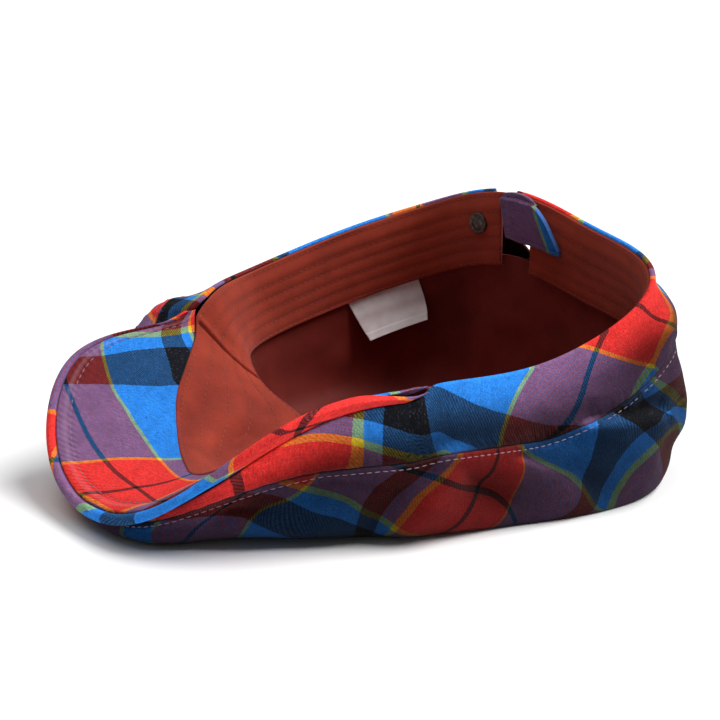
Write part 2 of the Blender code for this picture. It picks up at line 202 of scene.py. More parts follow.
# The crown: widest ring across, along, up, then where it meets the floor
CROWN = {
    "front": (-0.03, -1.41, 0.045, -0.03, -1.30),
    "right tip": (0.37, -1.22, 0.12, 0.22, -1.03),
    "right brow": (0.74, -0.94, 0.18, 0.56, -0.75),
    "right corner": (1.05, -0.56, 0.20, 0.88, -0.48),
    "right side": (1.26, -0.08, 0.18, 1.14, -0.12),
    "right hip": (1.34, 0.32, 0.22, 1.26, 0.22),
    "right heel": (1.12, 0.66, 0.28, 1.06, 0.57),
    "right back": (0.58, 0.94, 0.36, 0.45, 0.74),
    "back": (-0.05, 0.98, 0.40, -0.05, 0.76),
    "left heel": (-0.76, 0.84, 0.38, -0.60, 0.66),
    "left hip": (-1.10, 0.40, 0.34, -0.92, 0.34),
    "left side": (-1.18, -0.16, 0.38, -1.00, -0.14),
    "left corner": (-1.20, -0.46, 0.52, -0.94, -0.50),
    "left temple": (-1.18, -0.64, 0.48, -0.92, -0.66),
    "left brow": (-1.02, -1.04, 0.20, -0.79, -0.90),
    "left tip": (-0.64, -1.31, 0.08, -0.47, -1.16),
}
# The free lower edge of the sweatband, in the same shares
BAND_LOW = {
    "front": (-0.03, -0.72, 0.08),
    "right tip": (0.26, -0.66, 0.11),
    "right brow": (0.50, -0.52, 0.20),
    "right corner": (0.74, -0.36, 0.30),
    "right side": (0.95, -0.05, 0.27),
    "right hip": (1.08, 0.37, 0.45),
    "right heel": (0.87, 0.57, 0.56),
    "right back": (0.43, 0.66, 0.59),
    "back": (-0.05, 0.62, 0.67),
    "left heel": (-0.54, 0.56, 0.57),
    "left hip": (-0.78, 0.26, 0.47),
    "left side": (-0.86, -0.15, 0.38),
    "left corner": (-0.66, -0.37, 0.38),
    "left temple": (-0.53, -0.43, 0.36),
    "left brow": (-0.38, -0.47, 0.28),
    "left tip": (-0.20, -0.58, 0.16),
}
STATIONS = tuple(row[0] for row in OPENING)
COUNT = len(STATIONS)
CORNER_RIGHT = float(STATIONS.index("right corner"))
CORNER_LEFT = float(STATIONS.index("left corner"))
SHARES = np.array((HALF_WIDTH, HALF_LENGTH, RIM_HEIGHT))
CENTRE = np.array((0.0, -0.2, 0.0)) * SHARES

# Seam between side panels and top panel, as a share of the way to the belly
SEAM_AT = (0.35, 0.50, 0.62, 0.66, 0.62, 0.55, 0.50, 0.60, 0.66, 0.60, 0.58, 0.60, 0.62, 0.58, 0.46, 0.38)

# Folds and dents: from turn, run, to turn, run, half width, height along the normal
FOLDS = (
    ("diagonal crease", 3.85, 0.30, 4.75, 0.58, 0.0095, -0.0050),
    ("pocket", 3.30, 0.46, 3.60, 0.54, 0.0130, -0.0050),
    ("hip bulge", 4.45, 0.34, 4.90, 0.42, 0.0150, 0.0035),
    ("slant ridge", 3.05, 0.34, 2.60, 0.56, 0.0095, 0.0030),
    ("heel ridge", 5.55, 0.30, 6.10, 0.48, 0.0110, 0.0025),
    ("brow dent", 1.90, 0.40, 2.40, 0.50, 0.0120, -0.0030),
    ("left crease", 11.30, 0.30, 11.90, 0.54, 0.0110, -0.0040),
    ("back crease", 7.20, 0.34, 7.70, 0.54, 0.0110, -0.0035),
    ("left bulge", 9.90, 0.36, 10.50, 0.46, 0.0160, 0.0030),
)
# Small folds that only the finished cloth has, in the same columns
FINE_FOLDS = (
    ("heel fullness", 5.30, 0.12, 6.40, 0.13, 0.0140, 0.0085),
    ("hip crease", 4.25, 0.25, 5.15, 0.36, 0.0050, -0.0032),
    ("crease lip", 3.62, 0.33, 4.45, 0.56, 0.0045, -0.0022),
    ("crease edge", 3.95, 0.33, 4.70, 0.54, 0.0050, 0.0018),
    ("pocket lip", 3.10, 0.36, 3.45, 0.50, 0.0045, -0.0020),
    ("ridge side", 2.80, 0.36, 2.35, 0.54, 0.0050, -0.0016),
    ("brow line", 1.95, 0.32, 2.60, 0.42, 0.0045, -0.0012),
    ("tip line", 1.10, 0.36, 1.75, 0.50, 0.0050, -0.0012),
    ("hip line", 4.85, 0.30, 5.60, 0.40, 0.0045, -0.0020),
    ("hip knob", 4.95, 0.36, 5.70, 0.46, 0.0060, 0.0018),
    ("heel line", 5.10, 0.46, 5.90, 0.52, 0.0050, -0.0016),
    ("back line", 7.60, 0.30, 8.30, 0.48, 0.0050, -0.0016),
    ("left line", 9.20, 0.32, 9.70, 0.52, 0.0050, -0.0016),
    ("left wave", 10.9, 0.28, 10.5, 0.50, 0.0060, 0.0014),
    ("temple line", 12.4, 0.34, 13.1, 0.52, 0.0050, -0.0016),
)

# How the checks lie on a side panel: turn, millimetres of cloth across and up, fullness, which is the
# cloth's length down the panel for each length of its surface, and lean along the panel for each length down
SIDE_RIGHT_LAY = (
    (0.00, -64.0, -16.0, 1.0, 0.0), (1.00, -29.5, -8.0, 1.0, 0.0), (1.74, -12.0, 4.0, 1.0, -0.2),
    (2.13, -1.0, 12.5, 1.0, -0.3), (2.73, 27.5, 25.0, 1.0, -0.1), (3.38, 51.0, 39.0, 1.15, 0.05),
    (3.91, 72.0, 55.0, 1.5, 0.15), (4.45, 97.0, 77.0, 1.45, -0.05), (4.98, 110.0, 103.0, 1.40, -0.4),
    (5.35, 117.0, 125.0, 1.25, -0.5), (5.75, 126.0, 143.0, 1.0, -0.4), (6.20, 133.0, 160.0, 1.0, -0.2),
    (6.60, 134.5, 176.0, 1.0, 0.0), (6.95, 132.0, 192.0, 1.0, 0.0), (7.25, 126.0, 201.0, 1.0, 0.0),
    (7.60, 117.0, 215.0, 1.0, 0.0), (8.10, 104.0, 231.0, 1.0, 0.0),
)
SIDE_LEFT_LAY = (
    (8.00, 24.0, 56.0, 1.0, 0.0), (8.35, 10.5, 58.0, 1.0, 0.0), (8.60, 1.0, 61.0, 1.0, 0.0),
    (9.00, -17.0, 66.0, 1.0, 0.0), (9.22, -28.0, 70.0, 1.0, 0.0), (9.50, -52.0, 69.0, 1.0, 0.0),
    (9.65, -60.0, 67.0, 1.0, 0.0), (10.60, -98.0, 66.0, 1.0, 0.0), (11.00, -104.0, 82.0, 1.0, 0.0),
    (11.35, -108.0, 98.5, 1.0, 0.0), (11.65, -117.0, 107.0, 1.0, 0.0), (12.00, -124.0, 121.0, 1.0, 0.0),
    (12.50, -128.0, 137.0, 1.0, 0.0), (13.00, -128.0, 155.0, 1.0, 0.0), (14.00, -110.0, 184.0, 1.0, 0.0),
    (15.00, -82.0, 205.0, 1.0, 0.0), (16.00, -48.0, 222.0, 1.0, 0.0),
)
# The top panel: turn, then the cloth at its seam, at the widest ring and where it meets the floor
TOP_LAY = (
    (0.30, 128.0, 30.0, 122.0, 44.0, 100.0, 60.0),
    (1.00, 108.0, 16.0, 88.0, 34.0, 66.0, 54.0),
    (1.42, 92.0, 6.0, 66.0, 24.0, 48.0, 44.0),
    (1.79, 75.0, -5.0, 62.0, 11.0, 44.0, 34.0),
    (2.13, 57.0, -14.0, 43.0, 4.0, 24.0, 30.0),
    (2.34, 45.0, -21.0, 25.0, -4.0, 3.0, 24.0),
    (2.73, 22.0, -33.0, 1.0, -14.0, -20.0, 12.0),
    (3.06, 3.0, -42.0, -14.0, -24.0, -38.0, 2.0),
    (3.50, -38.0, -53.0, -47.0, -35.0, -68.0, -12.0),
    (3.68, -62.0, -59.5, -71.0, -45.0, -85.0, -26.0),
    (4.20, -93.0, -80.0, -99.0, -62.0, -105.0, -42.0),
    (4.45, -100.0, -97.0, -115.0, -75.0, -118.0, -48.0),
    (4.70, -90.0, -110.0, -124.0, -86.0, -122.0, -54.0),
    (4.97, -82.0, -124.0, -128.0, -97.0, -134.0, -66.0),
    (5.41, -76.0, -138.0, -127.0, -112.0, -150.0, -86.0),
    (5.85, -78.0, -146.0, -116.0, -124.0, -146.0, -96.0),
    (6.40, -78.0, -158.0, -102.0, -142.0, -136.0, -112.0),
)
# The top's near and far part: first and last turn, and columns; then the cloth at its middle in each
TOP_PARTS = ((0.30, 6.40, 200), (6.40, 16.30, 300))
TOP_MIDDLE_LAY = (0.0, 60.0)
TOP_FAR_LAY = (18.0, 66.0)
# The peak's underside: turn, then the cloth at the head and at the edge
PEAK_LAY = (
    (12.75, 0.0, -10.0, 25.0, -14.0), (13.30, 9.0, 2.0, 49.0, -4.0), (13.57, 16.0, 8.0, 67.0, 0.0),
    (13.70, 20.0, 12.0, 75.0, 3.0), (14.00, 26.0, 18.0, 92.0, 9.5), (14.35, 30.0, 26.5, 111.0, 31.0),
    (14.70, 41.0, 35.0, 123.0, 52.0), (15.00, 47.0, 43.0, 129.0, 71.0), (15.30, 49.5, 49.5, 134.0, 94.0),
    (15.80, 47.0, 59.0, 138.0, 126.0),
    (16.44, 35.0, 80.0, 112.0, 150.0), (17.00, 20.0, 100.0, 85.0, 170.0), (18.00, 0.0, 135.0, 30.0, 185.0),
    (18.84, -15.0, 160.0, 0.0, 190.0),
)
# Where the sweatband's top edge lies on the peak: turn, and reach along the peak
BAND_LAID = (
    (12.40, 0.0), (12.90, -0.25), (13.30, -0.24), (13.70, -0.15), (14.20, -0.07), (14.60, -0.01), (15.00, 0.015),
    (15.30, 0.03), (15.70, 0.08), (16.07, 0.19), (16.39, 0.36), (16.70, 0.46), (17.10, 0.42), (17.60, 0.22),
    (18.10, 0.05), (18.50, 0.0),
)
# The closing tab: turn and depth at its upper edge, then at its lower edge
TAB_SHAPE = (
    (8.08, -0.05, 7.99, 0.56), (7.92, -0.08, 7.82, 0.59), (7.76, -0.06, 7.68, 0.57), (7.62, 0.02, 7.56, 0.56),
    (7.50, 0.14, 7.45, 0.555), (7.38, 0.32, 7.36, 0.54), (7.30, 0.45, 7.29, 0.52),
)
# The peak's rolled edge: turn, then millimetres of cloth across and up
ROLL_LAY = (
    (12.75, -132.0, 84.0), (13.60, -98.0, 83.0), (14.20, -70.0, 83.0), (14.55, -56.0, 80.0), (14.95, -28.0, 68.5),
    (15.56, 0.0, 58.0), (15.70, 3.0, 56.0), (15.83, 10.5, 54.0), (16.24, 28.5, 52.0), (16.77, 67.0, 52.0),
    (17.02, 71.5, 58.0), (17.15, 77.0, 62.5), (17.45, 92.0, 77.0), (17.75, 105.5, 91.5), (18.15, 115.0, 101.0),
    (18.50, 126.0, 111.0), (18.84, 137.0, 121.0),
)

# The repeat of the checks: name of the yarn, and its width in millimetres of cloth
SETT = (
    ("yellow", 2.5), ("blue", 8.0), ("black", 18.0), ("blue", 40.0), ("yellow", 2.5),
    ("red", 26.0), ("black", 3.0), ("red", 26.0),
)
MM = 1000.0
STITCH_WOBBLE = 0.10
PALE_FIBRE = (0.62, 0.56, 0.60, 1.0)
WORN_EDGE = (0.55, 0.40, 0.46, 1.0)


def around(values, turn):
    """Smooth closed curve through evenly numbered stations."""
    values = np.asarray(values, float)
    count = len(values)
    eye = np.eye(count)
    mix = 4 * eye + np.roll(eye, 1, 0) + np.roll(eye, -1, 0)
    second = np.roll(values, -1, 0) - 2 * values + np.roll(values, 1, 0)
    bend = np.linalg.solve(mix, 6 * second)
    turn = np.asarray(turn, float) % count
    first = np.floor(turn).astype(int) % count
    after = (first + 1) % count
    far = turn - np.floor(turn)
    if values.ndim > 1:
        far = far[..., None]
    near = 1 - far
    curve = values[first] * near + values[after] * far
    return curve + ((near**3 - near) * bend[first] + (far**3 - far) * bend[after]) / 6


OPENING_PTS = np.array([row[1:] for row in OPENING]) * SHARES
EDGE_PTS = np.array([PEAK_EDGE.get(row[0], row[1:]) for row in OPENING]) * SHARES
BELLY_PTS = np.array([CROWN[name][:3] for name in STATIONS]) * SHARES
FOOT_PTS = np.array([CROWN[name][3:] + (0.0,) for name in STATIONS]) * SHARES
LOW_PTS = np.array([BAND_LOW[name] for name in STATIONS]) * SHARES


def unit(vectors):
    """Vectors of length one."""
    length = np.linalg.norm(vectors, axis=-1, keepdims=True)
    return vectors / np.maximum(length, TINY)


def smooth(share):
    """A soft step from 0 to 1."""
    share = np.clip(share, 0, 1)
    return share * share * (3 - 2 * share)


def between(at, first, last, fade_in, fade_out=None):
    """1 between two places, with soft steps inside them."""
    return smooth((at - first) / fade_in) * smooth((last - at) / (fade_out or fade_in))


def ridge(at, height, middle, width):
    """A soft ridge, or a groove where its height is negative."""
    return height * np.exp(-(((at - middle) / width) ** 2))


def peak_top(turn, reach):
    """Underside of the peak, which faces up here: reach 0 at the head, 1 at the edge."""
    root = around(OPENING_PTS, turn)
    edge = around(EDGE_PTS, turn)
    return root + (edge - root) * np.asarray(reach, float)[..., None]


def peak_depth(turn):
    """Length of the peak from the head to its edge."""
    return np.linalg.norm(around(EDGE_PTS, turn) - around(OPENING_PTS, turn), axis=-1)


def held(turn):
    """1 where the crown is laid on the peak, 0 round the sides and back."""
    turn = np.asarray(turn, float) % COUNT
    front = (turn < CORNER_RIGHT) | (turn > CORNER_LEFT)
    return front * smooth(peak_depth(turn) / PEAK_FADE)


def peak_normal(turn, reach):
    """Points down and out of the peak, away from its visible underside."""
    along = peak_top(turn + PEAK_STEP, reach) - peak_top(turn - PEAK_STEP, reach)
    out = peak_top(turn, reach + PEAK_STEP) - peak_top(turn, reach - PEAK_STEP)
    return unit(np.cross(along, out))


def hem(turn):
    """Top edge of the crown: on the rim at the sides, laid on the peak at the front."""
    turn = np.asarray(turn, float)
    inset = CROWN_INSET / np.maximum(peak_depth(turn), CLOTH)
    reach = np.clip(1 - inset, 0, 1) * (held(turn) > 0)
    below = PEAK_UNDER_THICK + PEAK_BOARD_THICK + HEM_GAP
    return peak_top(turn, reach) + peak_normal(turn, reach) * (below * held(turn))[..., None]


def crown_plain(turn, run):
    """Outside of the crown without its folds."""
    top = hem(turn)
    belly = around(BELLY_PTS, turn)
    foot = around(FOOT_PTS, turn)
    level = np.array((1.0, 1.0, 0))
    upright = 1 - level
    drop = (top - belly) * upright
    lean = (belly - top) * level
    one = top - HEM_DROP * drop + HEM_LEAN * lean
    two = belly + BELLY_RISE * drop
    share = np.clip(run / BELLY_AT, 0, 1)[..., None]
    rest = 1 - share
    wall = rest**3 * top + 3 * rest**2 * share * one + 3 * rest * share**2 * two + share**3 * belly
    angle = np.clip((run - BELLY_AT) / (FOOT_AT - BELLY_AT), 0, 1)[..., None] * np.pi / 2
    tuck = foot + (belly - foot) * level * np.cos(angle)
    tuck = tuck + (belly - foot) * upright * (1 - np.sin(angle))
    inward_share = np.clip((run - FOOT_AT) / (1 - FOOT_AT), 0, 1)[..., None]
    flat = foot + (CENTRE - foot) * inward_share
    run = run[..., None]
    return np.where(run < BELLY_AT, wall, np.where(run < FOOT_AT, tuck, flat))


def fold_height(table, turn, run):
    """Height of all folds together; none at the hem, and none where the floor is."""
    total = np.zeros(np.broadcast(turn, run).shape)
    for _, turn_a, run_a, turn_b, run_b, width, height in table:
        away = (turn - turn_a + COUNT / 2) % COUNT - COUNT / 2
        x = away * STATION_SPAN
        y = (run - run_a) * WALL_SPAN
        across = (turn_b - turn_a) * STATION_SPAN
        down = (run_b - run_a) * WALL_SPAN
        share = np.clip((x * across + y * down) / (across**2 + down**2), 0, 1)
        apart = (x - share * across) ** 2 + (y - share * down) ** 2
        total = total + height * np.exp(-apart / width**2)
    return total * between(run, 0, FOOT_AT, BELLY_AT / 2, FOOT_AT - BELLY_AT)


def normal(surface, turn, run):
    """Outward normal of a surface, by central differences."""
    along = surface(turn + TURN_STEP, run) - surface(turn - TURN_STEP, run)
    below = surface(turn, np.minimum(run + RUN_STEP, 1))
    down = below - surface(turn, np.maximum(run - RUN_STEP, 0))
    return unit(np.cross(down, along))


def crown(turn, run):
    """Outside of the crown: run 0 at the hem, 1 at the centre of the floor patch."""
    turn, run = np.broadcast_arrays(np.asarray(turn, float), np.asarray(run, float))
    out = normal(crown_plain, turn, run)
    return crown_plain(turn, run) + out * fold_height(FOLDS, turn, run)[..., None]


def seam(turn):
    """Run of the seam between the side panels and the top panel."""
    return around(np.array(SEAM_AT), turn) * BELLY_AT


def inward(turn):
    """Level direction from the rim towards the middle of the opening."""
    along = around(OPENING_PTS, turn + TURN_STEP) - around(OPENING_PTS, turn - TURN_STEP)
    along[..., 2] = 0
    return unit(np.cross(np.array((0, 0, 1.0)), along))


def band(turn, share):
    """Visible face of the sweatband: share 0 at the rim, 1 at its free lower edge."""
    turn, share = np.broadcast_arrays(np.asarray(turn, float), np.asarray(share, float))
    side = 1 - held(turn)
    inset = BAND_THICK + GAP + side * RIM_ROLL
    top = around(OPENING_PTS, turn) + inward(turn) * inset[..., None]
    top = top - np.array((0, 0, 1.0)) * (BAND_TOP_DROP * side)[..., None]
    return top + (around(LOW_PTS, turn) - top) * share[..., None]


def lining(turn, run):
    """Face of the lining: from behind the sweatband down to its own floor."""
    turn, run = np.broadcast_arrays(np.asarray(turn, float), np.asarray(run, float))
    back = normal(band, turn, np.full_like(turn, LINING_START))
    start = band(turn, LINING_START) + back * (BAND_THICK + LINING_BEHIND)
    low = around(LOW_PTS, turn)
    foot = low + (around(FOOT_PTS, turn) - low) * LINING_SPREAD
    foot[..., 2] = LINING_FLOOR
    middle = CENTRE + np.array((0, 0, LINING_FLOOR))
    one = start - (start - foot) * np.array((0, 0, LINING_HANG))
    three = foot + (middle - foot) * LINING_TURN
    share = np.clip(run / LINING_WALL, 0, 1)[..., None]
    rest = 1 - share
    wall = rest**3 * start + 3 * rest**2 * share * one
    wall = wall + 3 * rest * share**2 * foot + share**3 * three
    over = np.clip((run - LINING_WALL) / (1 - LINING_WALL), 0, 1)[..., None]
    flat = three + (middle - three) * over
    return np.where(run[..., None] < LINING_WALL, wall, flat)


def label(turn, share):
    """Care label: caught behind the sweatband's lower edge, hanging free below it."""
    turn, share = np.broadcast_arrays(np.asarray(turn, float), np.asarray(share, float))
    back = normal(band, turn, np.full_like(turn, 1.0)) * (BAND_THICK + 2 * GAP)
    share = share[..., None]
    fall = inward(turn) * LABEL_LEAN * share**2 - np.array((0, 0, LABEL_DROP)) * share
    return band(turn, LABEL_START) + back + fall


def notch_half(run):
    """Half width of the slot at the back, in turns, at a depth below the rim."""
    bottom = NOTCH_DEPTH / BACK_WALL * BELLY_AT
    left = np.clip(1 - (run / bottom) ** 2, 0, 1)
    return NOTCH_WIDTH / 2 / STATION_SPAN * np.sqrt(left)


def snap_place():
    """Centre of the snap, its outward direction and two directions in its plane."""
    turn, share = (np.array([value]) for value in SNAP_AT)
    middle = band(turn, share)[0]
    out = normal(band, turn, share)[0]
    across = unit(np.cross(out, np.array((0, 0, 1.0))))
    return middle, out, across, np.cross(out, across)


def frame_shift():
    """From the frame that the tables use to the model's own frame."""
    low, high = (np.array(corner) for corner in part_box("snap"))
    middle, out, _, _ = snap_place()
    return middle - out * (SNAP_GAP_CAD + SNAP_THICK / 2) - (low + high) / 2


SHIFT = frame_shift()


def through(rows, turn):
    """Smooth curve through the rows of a table, whose first column is the turn."""
    rows = np.asarray(rows, float)
    knots = rows[:, 0]
    values = rows[:, 1:]
    slopes = np.gradient(values, knots, axis=0)
    at = np.clip(np.searchsorted(knots, turn) - 1, 0, len(knots) - 2)
    span = (knots[at + 1] - knots[at])[..., None]
    share = np.clip((turn - knots[at])[..., None] / span, 0, 1)
    rest = 1 - share
    start = values[at] * (1 + 2 * share) * rest**2 + slopes[at] * share * rest**2 * span
    stop = values[at + 1] * (1 + 2 * rest) * share**2 - slopes[at + 1] * rest * share**2 * span
    return start + stop


def ripple(place, size, seed):
    """Smooth noise from -1 to 1 at points in metres, with lumps of about the given size."""
    place = np.asarray(place) / size + seed * 17.3
    cell = np.floor(place).astype(np.int64)
    part = smooth(place - cell)
    total = np.zeros(place.shape[:-1])
    for corner in np.ndindex(2, 2, 2):
        here = cell + np.array(corner)
        mixed = here[..., 0] * 73856093 ^ here[..., 1] * 19349663 ^ here[..., 2] * 83492791
        mixed = (mixed ^ (mixed >> 13)) * 1274126177 % 65536
        weight = np.prod(np.where(np.array(corner), part, 1 - part), axis=-1)
        total = total + (mixed / 32768.0 - 1) * weight
    return total


def slackness(place, waves):
    """Unevenness of a soft cloth, in metres."""
    return sum(height * ripple(place, size, seed) for height, size, seed in waves)


def spaced(length, count, near=(0.0, 0.08, 0.22, 0.45, 0.80), both=True):
    """Shares from 0 to 1 along a length in metres, closer together near its ends."""
    ends = np.array(near) / MM / length
    middle = np.linspace(ends[-1], 1 - ends[-1] if both else 1, count)
    tail = 1 - ends[:-1][::-1] if both else []
    return np.concatenate((ends[:-1], middle, tail))


def walked(points, axis):
    """Length walked along a grid of points, in metres, from its first row or column."""
    steps = np.linalg.norm(np.diff(points, axis=axis), axis=-1)
    pad = [(0, 0), (0, 0)]
    pad[axis] = (1, 0)
    return np.cumsum(np.pad(steps, pad), axis=axis)


def edge_round(distance, radius):
    """How far a surface has turned in at a distance from its edge."""
    left = np.clip(1 - distance / radius, 0, 1)
    return radius * (1 - np.sqrt(np.clip(1 - left**2, 0, 1)))


def right_of(path):
    """Directions square to a path of the cloth, on its right, column by column."""
    along = unit(np.gradient(path, axis=-2))
    return np.stack((along[..., 1], -along[..., 0]), -1)


def draped(path, face, down):
    """The cloth map of a panel that follows a path of the cloth along its first row."""
    path, fullness, lean = path[:, :2], path[:, 2:3], path[:, 3:]
    brink = unit(np.gradient(face[0], axis=0))
    along = ((face - face[0]) * brink).sum(-1) * MM
    across = np.sqrt(np.clip(down**2 - along**2, 0, None))
    forward = unit(np.gradient(path, axis=0))
    right = np.stack((forward[:, 1], -forward[:, 0]), -1)
    return path + forward * along[..., None] + (right * fullness + forward * lean) * across[..., None]


def shaded(outer, out, sunk, top):
    """How much painted shade goes into the cloth's colour: below the hem and facing down, or sunk in a fold."""
    drop = top[..., 2] - outer[..., 2]
    facing = smooth((SHADE_FACING[0] - out[..., 2]) / SHADE_FACING[1])
    hanging = smooth((drop - SHADE_DROP[0]) / SHADE_DROP[1])
    near_floor = smooth((SHADE_FLOOR[0] - outer[..., 2]) / SHADE_FLOOR[1])
    low = SHADE_MOST * facing * np.maximum(hanging, near_floor)
    return 1 - (1 - low) * (1 - smooth(sunk))


def placed(name, data):
    """A new object in the scene."""
    thing = bpy.data.objects.new(name, data)
    bpy.context.scene.collection.objects.link(thing)
    return thing


def cloth_body(name, outer, inner, lay, edge, material, closed=False, doubled=(), shade=None):
    """A closed body between two grids of points, with the cloth map and the map of its edges.

    Grids are rows by columns. A closed grid repeats its first column as its last and has a middle
    point beyond its last row, and doubled columns share their points with the column before, so
    that the cloth map may jump there.
    """
    rows, columns = outer.shape[:2]
    number = np.arange(columns)
    for column in doubled:
        number[column:] -= 1
    if closed:
        number[-1] = 0
    width = number.max() + 1
    keep = np.unique(number, return_index=True)[1]
    points = np.concatenate((outer[:, keep].reshape(-1, 3), inner[:, keep].reshape(-1, 3)))
    count = rows * width
    row, column = np.meshgrid(np.arange(rows - 1), np.arange(columns - 1), indexing="ij")
    row, column = row.ravel(), column.ravel()
    real = number[column] != number[column + 1]
    row, column = row[real], column[real]
    corners = [(row, column), (row, column + 1), (row + 1, column + 1), (row + 1, column)]
    sheet = np.stack([r * width + number[c] for r, c in corners], 1)
    source = np.stack([r * columns + c for r, c in corners], 1)
    quads = [sheet, sheet[:, ::-1] + count]
    maps = [source, source[:, ::-1]]
    walls = [(np.zeros(columns, int), np.arange(columns)[::-1])]
    if not closed:
        walls.append((np.full(columns, rows - 1), np.arange(columns)))
        walls.append((np.arange(rows), np.zeros(rows, int)))
        walls.append((np.arange(rows)[::-1], np.full(rows, columns - 1)))
    for r, c in walls:
        ids = r * width + number[c]
        flat = r * columns + c
        good = ids[:-1] != ids[1:]
        here, there = ids[:-1][good], ids[1:][good]
        quads.append(np.stack((here, there, there + count, here + count), 1))
        near, next_one = flat[:-1][good], flat[1:][good]
        maps.append(np.stack((near, next_one, next_one, near), 1))
    faces = np.concatenate(quads)
    looks = np.concatenate(maps)
    tips = []
    if closed:
        ring = (rows - 1) * width + number
        flat = (rows - 1) * columns + np.arange(columns)
        good = ring[:-1] != ring[1:]
        here, there = ring[:-1][good], ring[1:][good]
        near, next_one = flat[:-1][good], flat[1:][good]
        middle = np.full(len(here), len(points))
        tips.append((np.stack((here, there, middle), 1), np.stack((near, next_one, near), 1)))
        under = np.stack((there + count, here + count, middle + 1), 1)
        tips.append((under, np.stack((next_one, near, near), 1)))
        points = np.concatenate((points, outer[-1].mean(0)[None], inner[-1].mean(0)[None]))
    a, b, c, d = (points[faces[:, corner]] for corner in range(4))
    volume = (a * (np.cross(b, c) + np.cross(c, d))).sum()
    way = -1 if volume < 0 else 1
    parts = [(faces, looks)] + tips
    loops = np.concatenate([part[:, ::way].ravel() for part, _ in parts])
    looks = np.concatenate([part[:, ::way].ravel() for _, part in parts])
    sizes = np.concatenate([np.full(len(part), part.shape[1]) for part, _ in parts])
    mesh = bpy.data.meshes.new(name)
    mesh.vertices.add(len(points))
    mesh.vertices.foreach_set("co", (points - SHIFT).ravel())
    mesh.loops.add(len(loops))
    mesh.loops.foreach_set("vertex_index", loops.astype(np.int32))
    mesh.polygons.add(len(sizes))
    mesh.polygons.foreach_set("loop_start", (np.cumsum(sizes) - sizes).astype(np.int32))
    mesh.polygons.foreach_set("use_smooth", np.ones(len(sizes), bool))
    mesh.update(calc_edges=True)
    shade = np.zeros(outer.shape[:2]) if shade is None else shade
    for title, grid_map in (("Cloth", lay), ("Edge", edge), ("Shade", np.stack((shade, shade), -1))):
        layer = mesh.uv_layers.new(name=title)
        layer.data.foreach_set("uv", grid_map.reshape(-1, 2)[looks].astype(np.float32).ravel())
    mesh.validate()
    mesh.materials.append(material)
    return placed(name, mesh)


def settle(thing, slot, *nodes):
    """The piece rides on the cap's one body and stands for its solids, which it hides; the slot is not used."""
    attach(thing, "root")
    if nodes:
        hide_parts(*nodes)


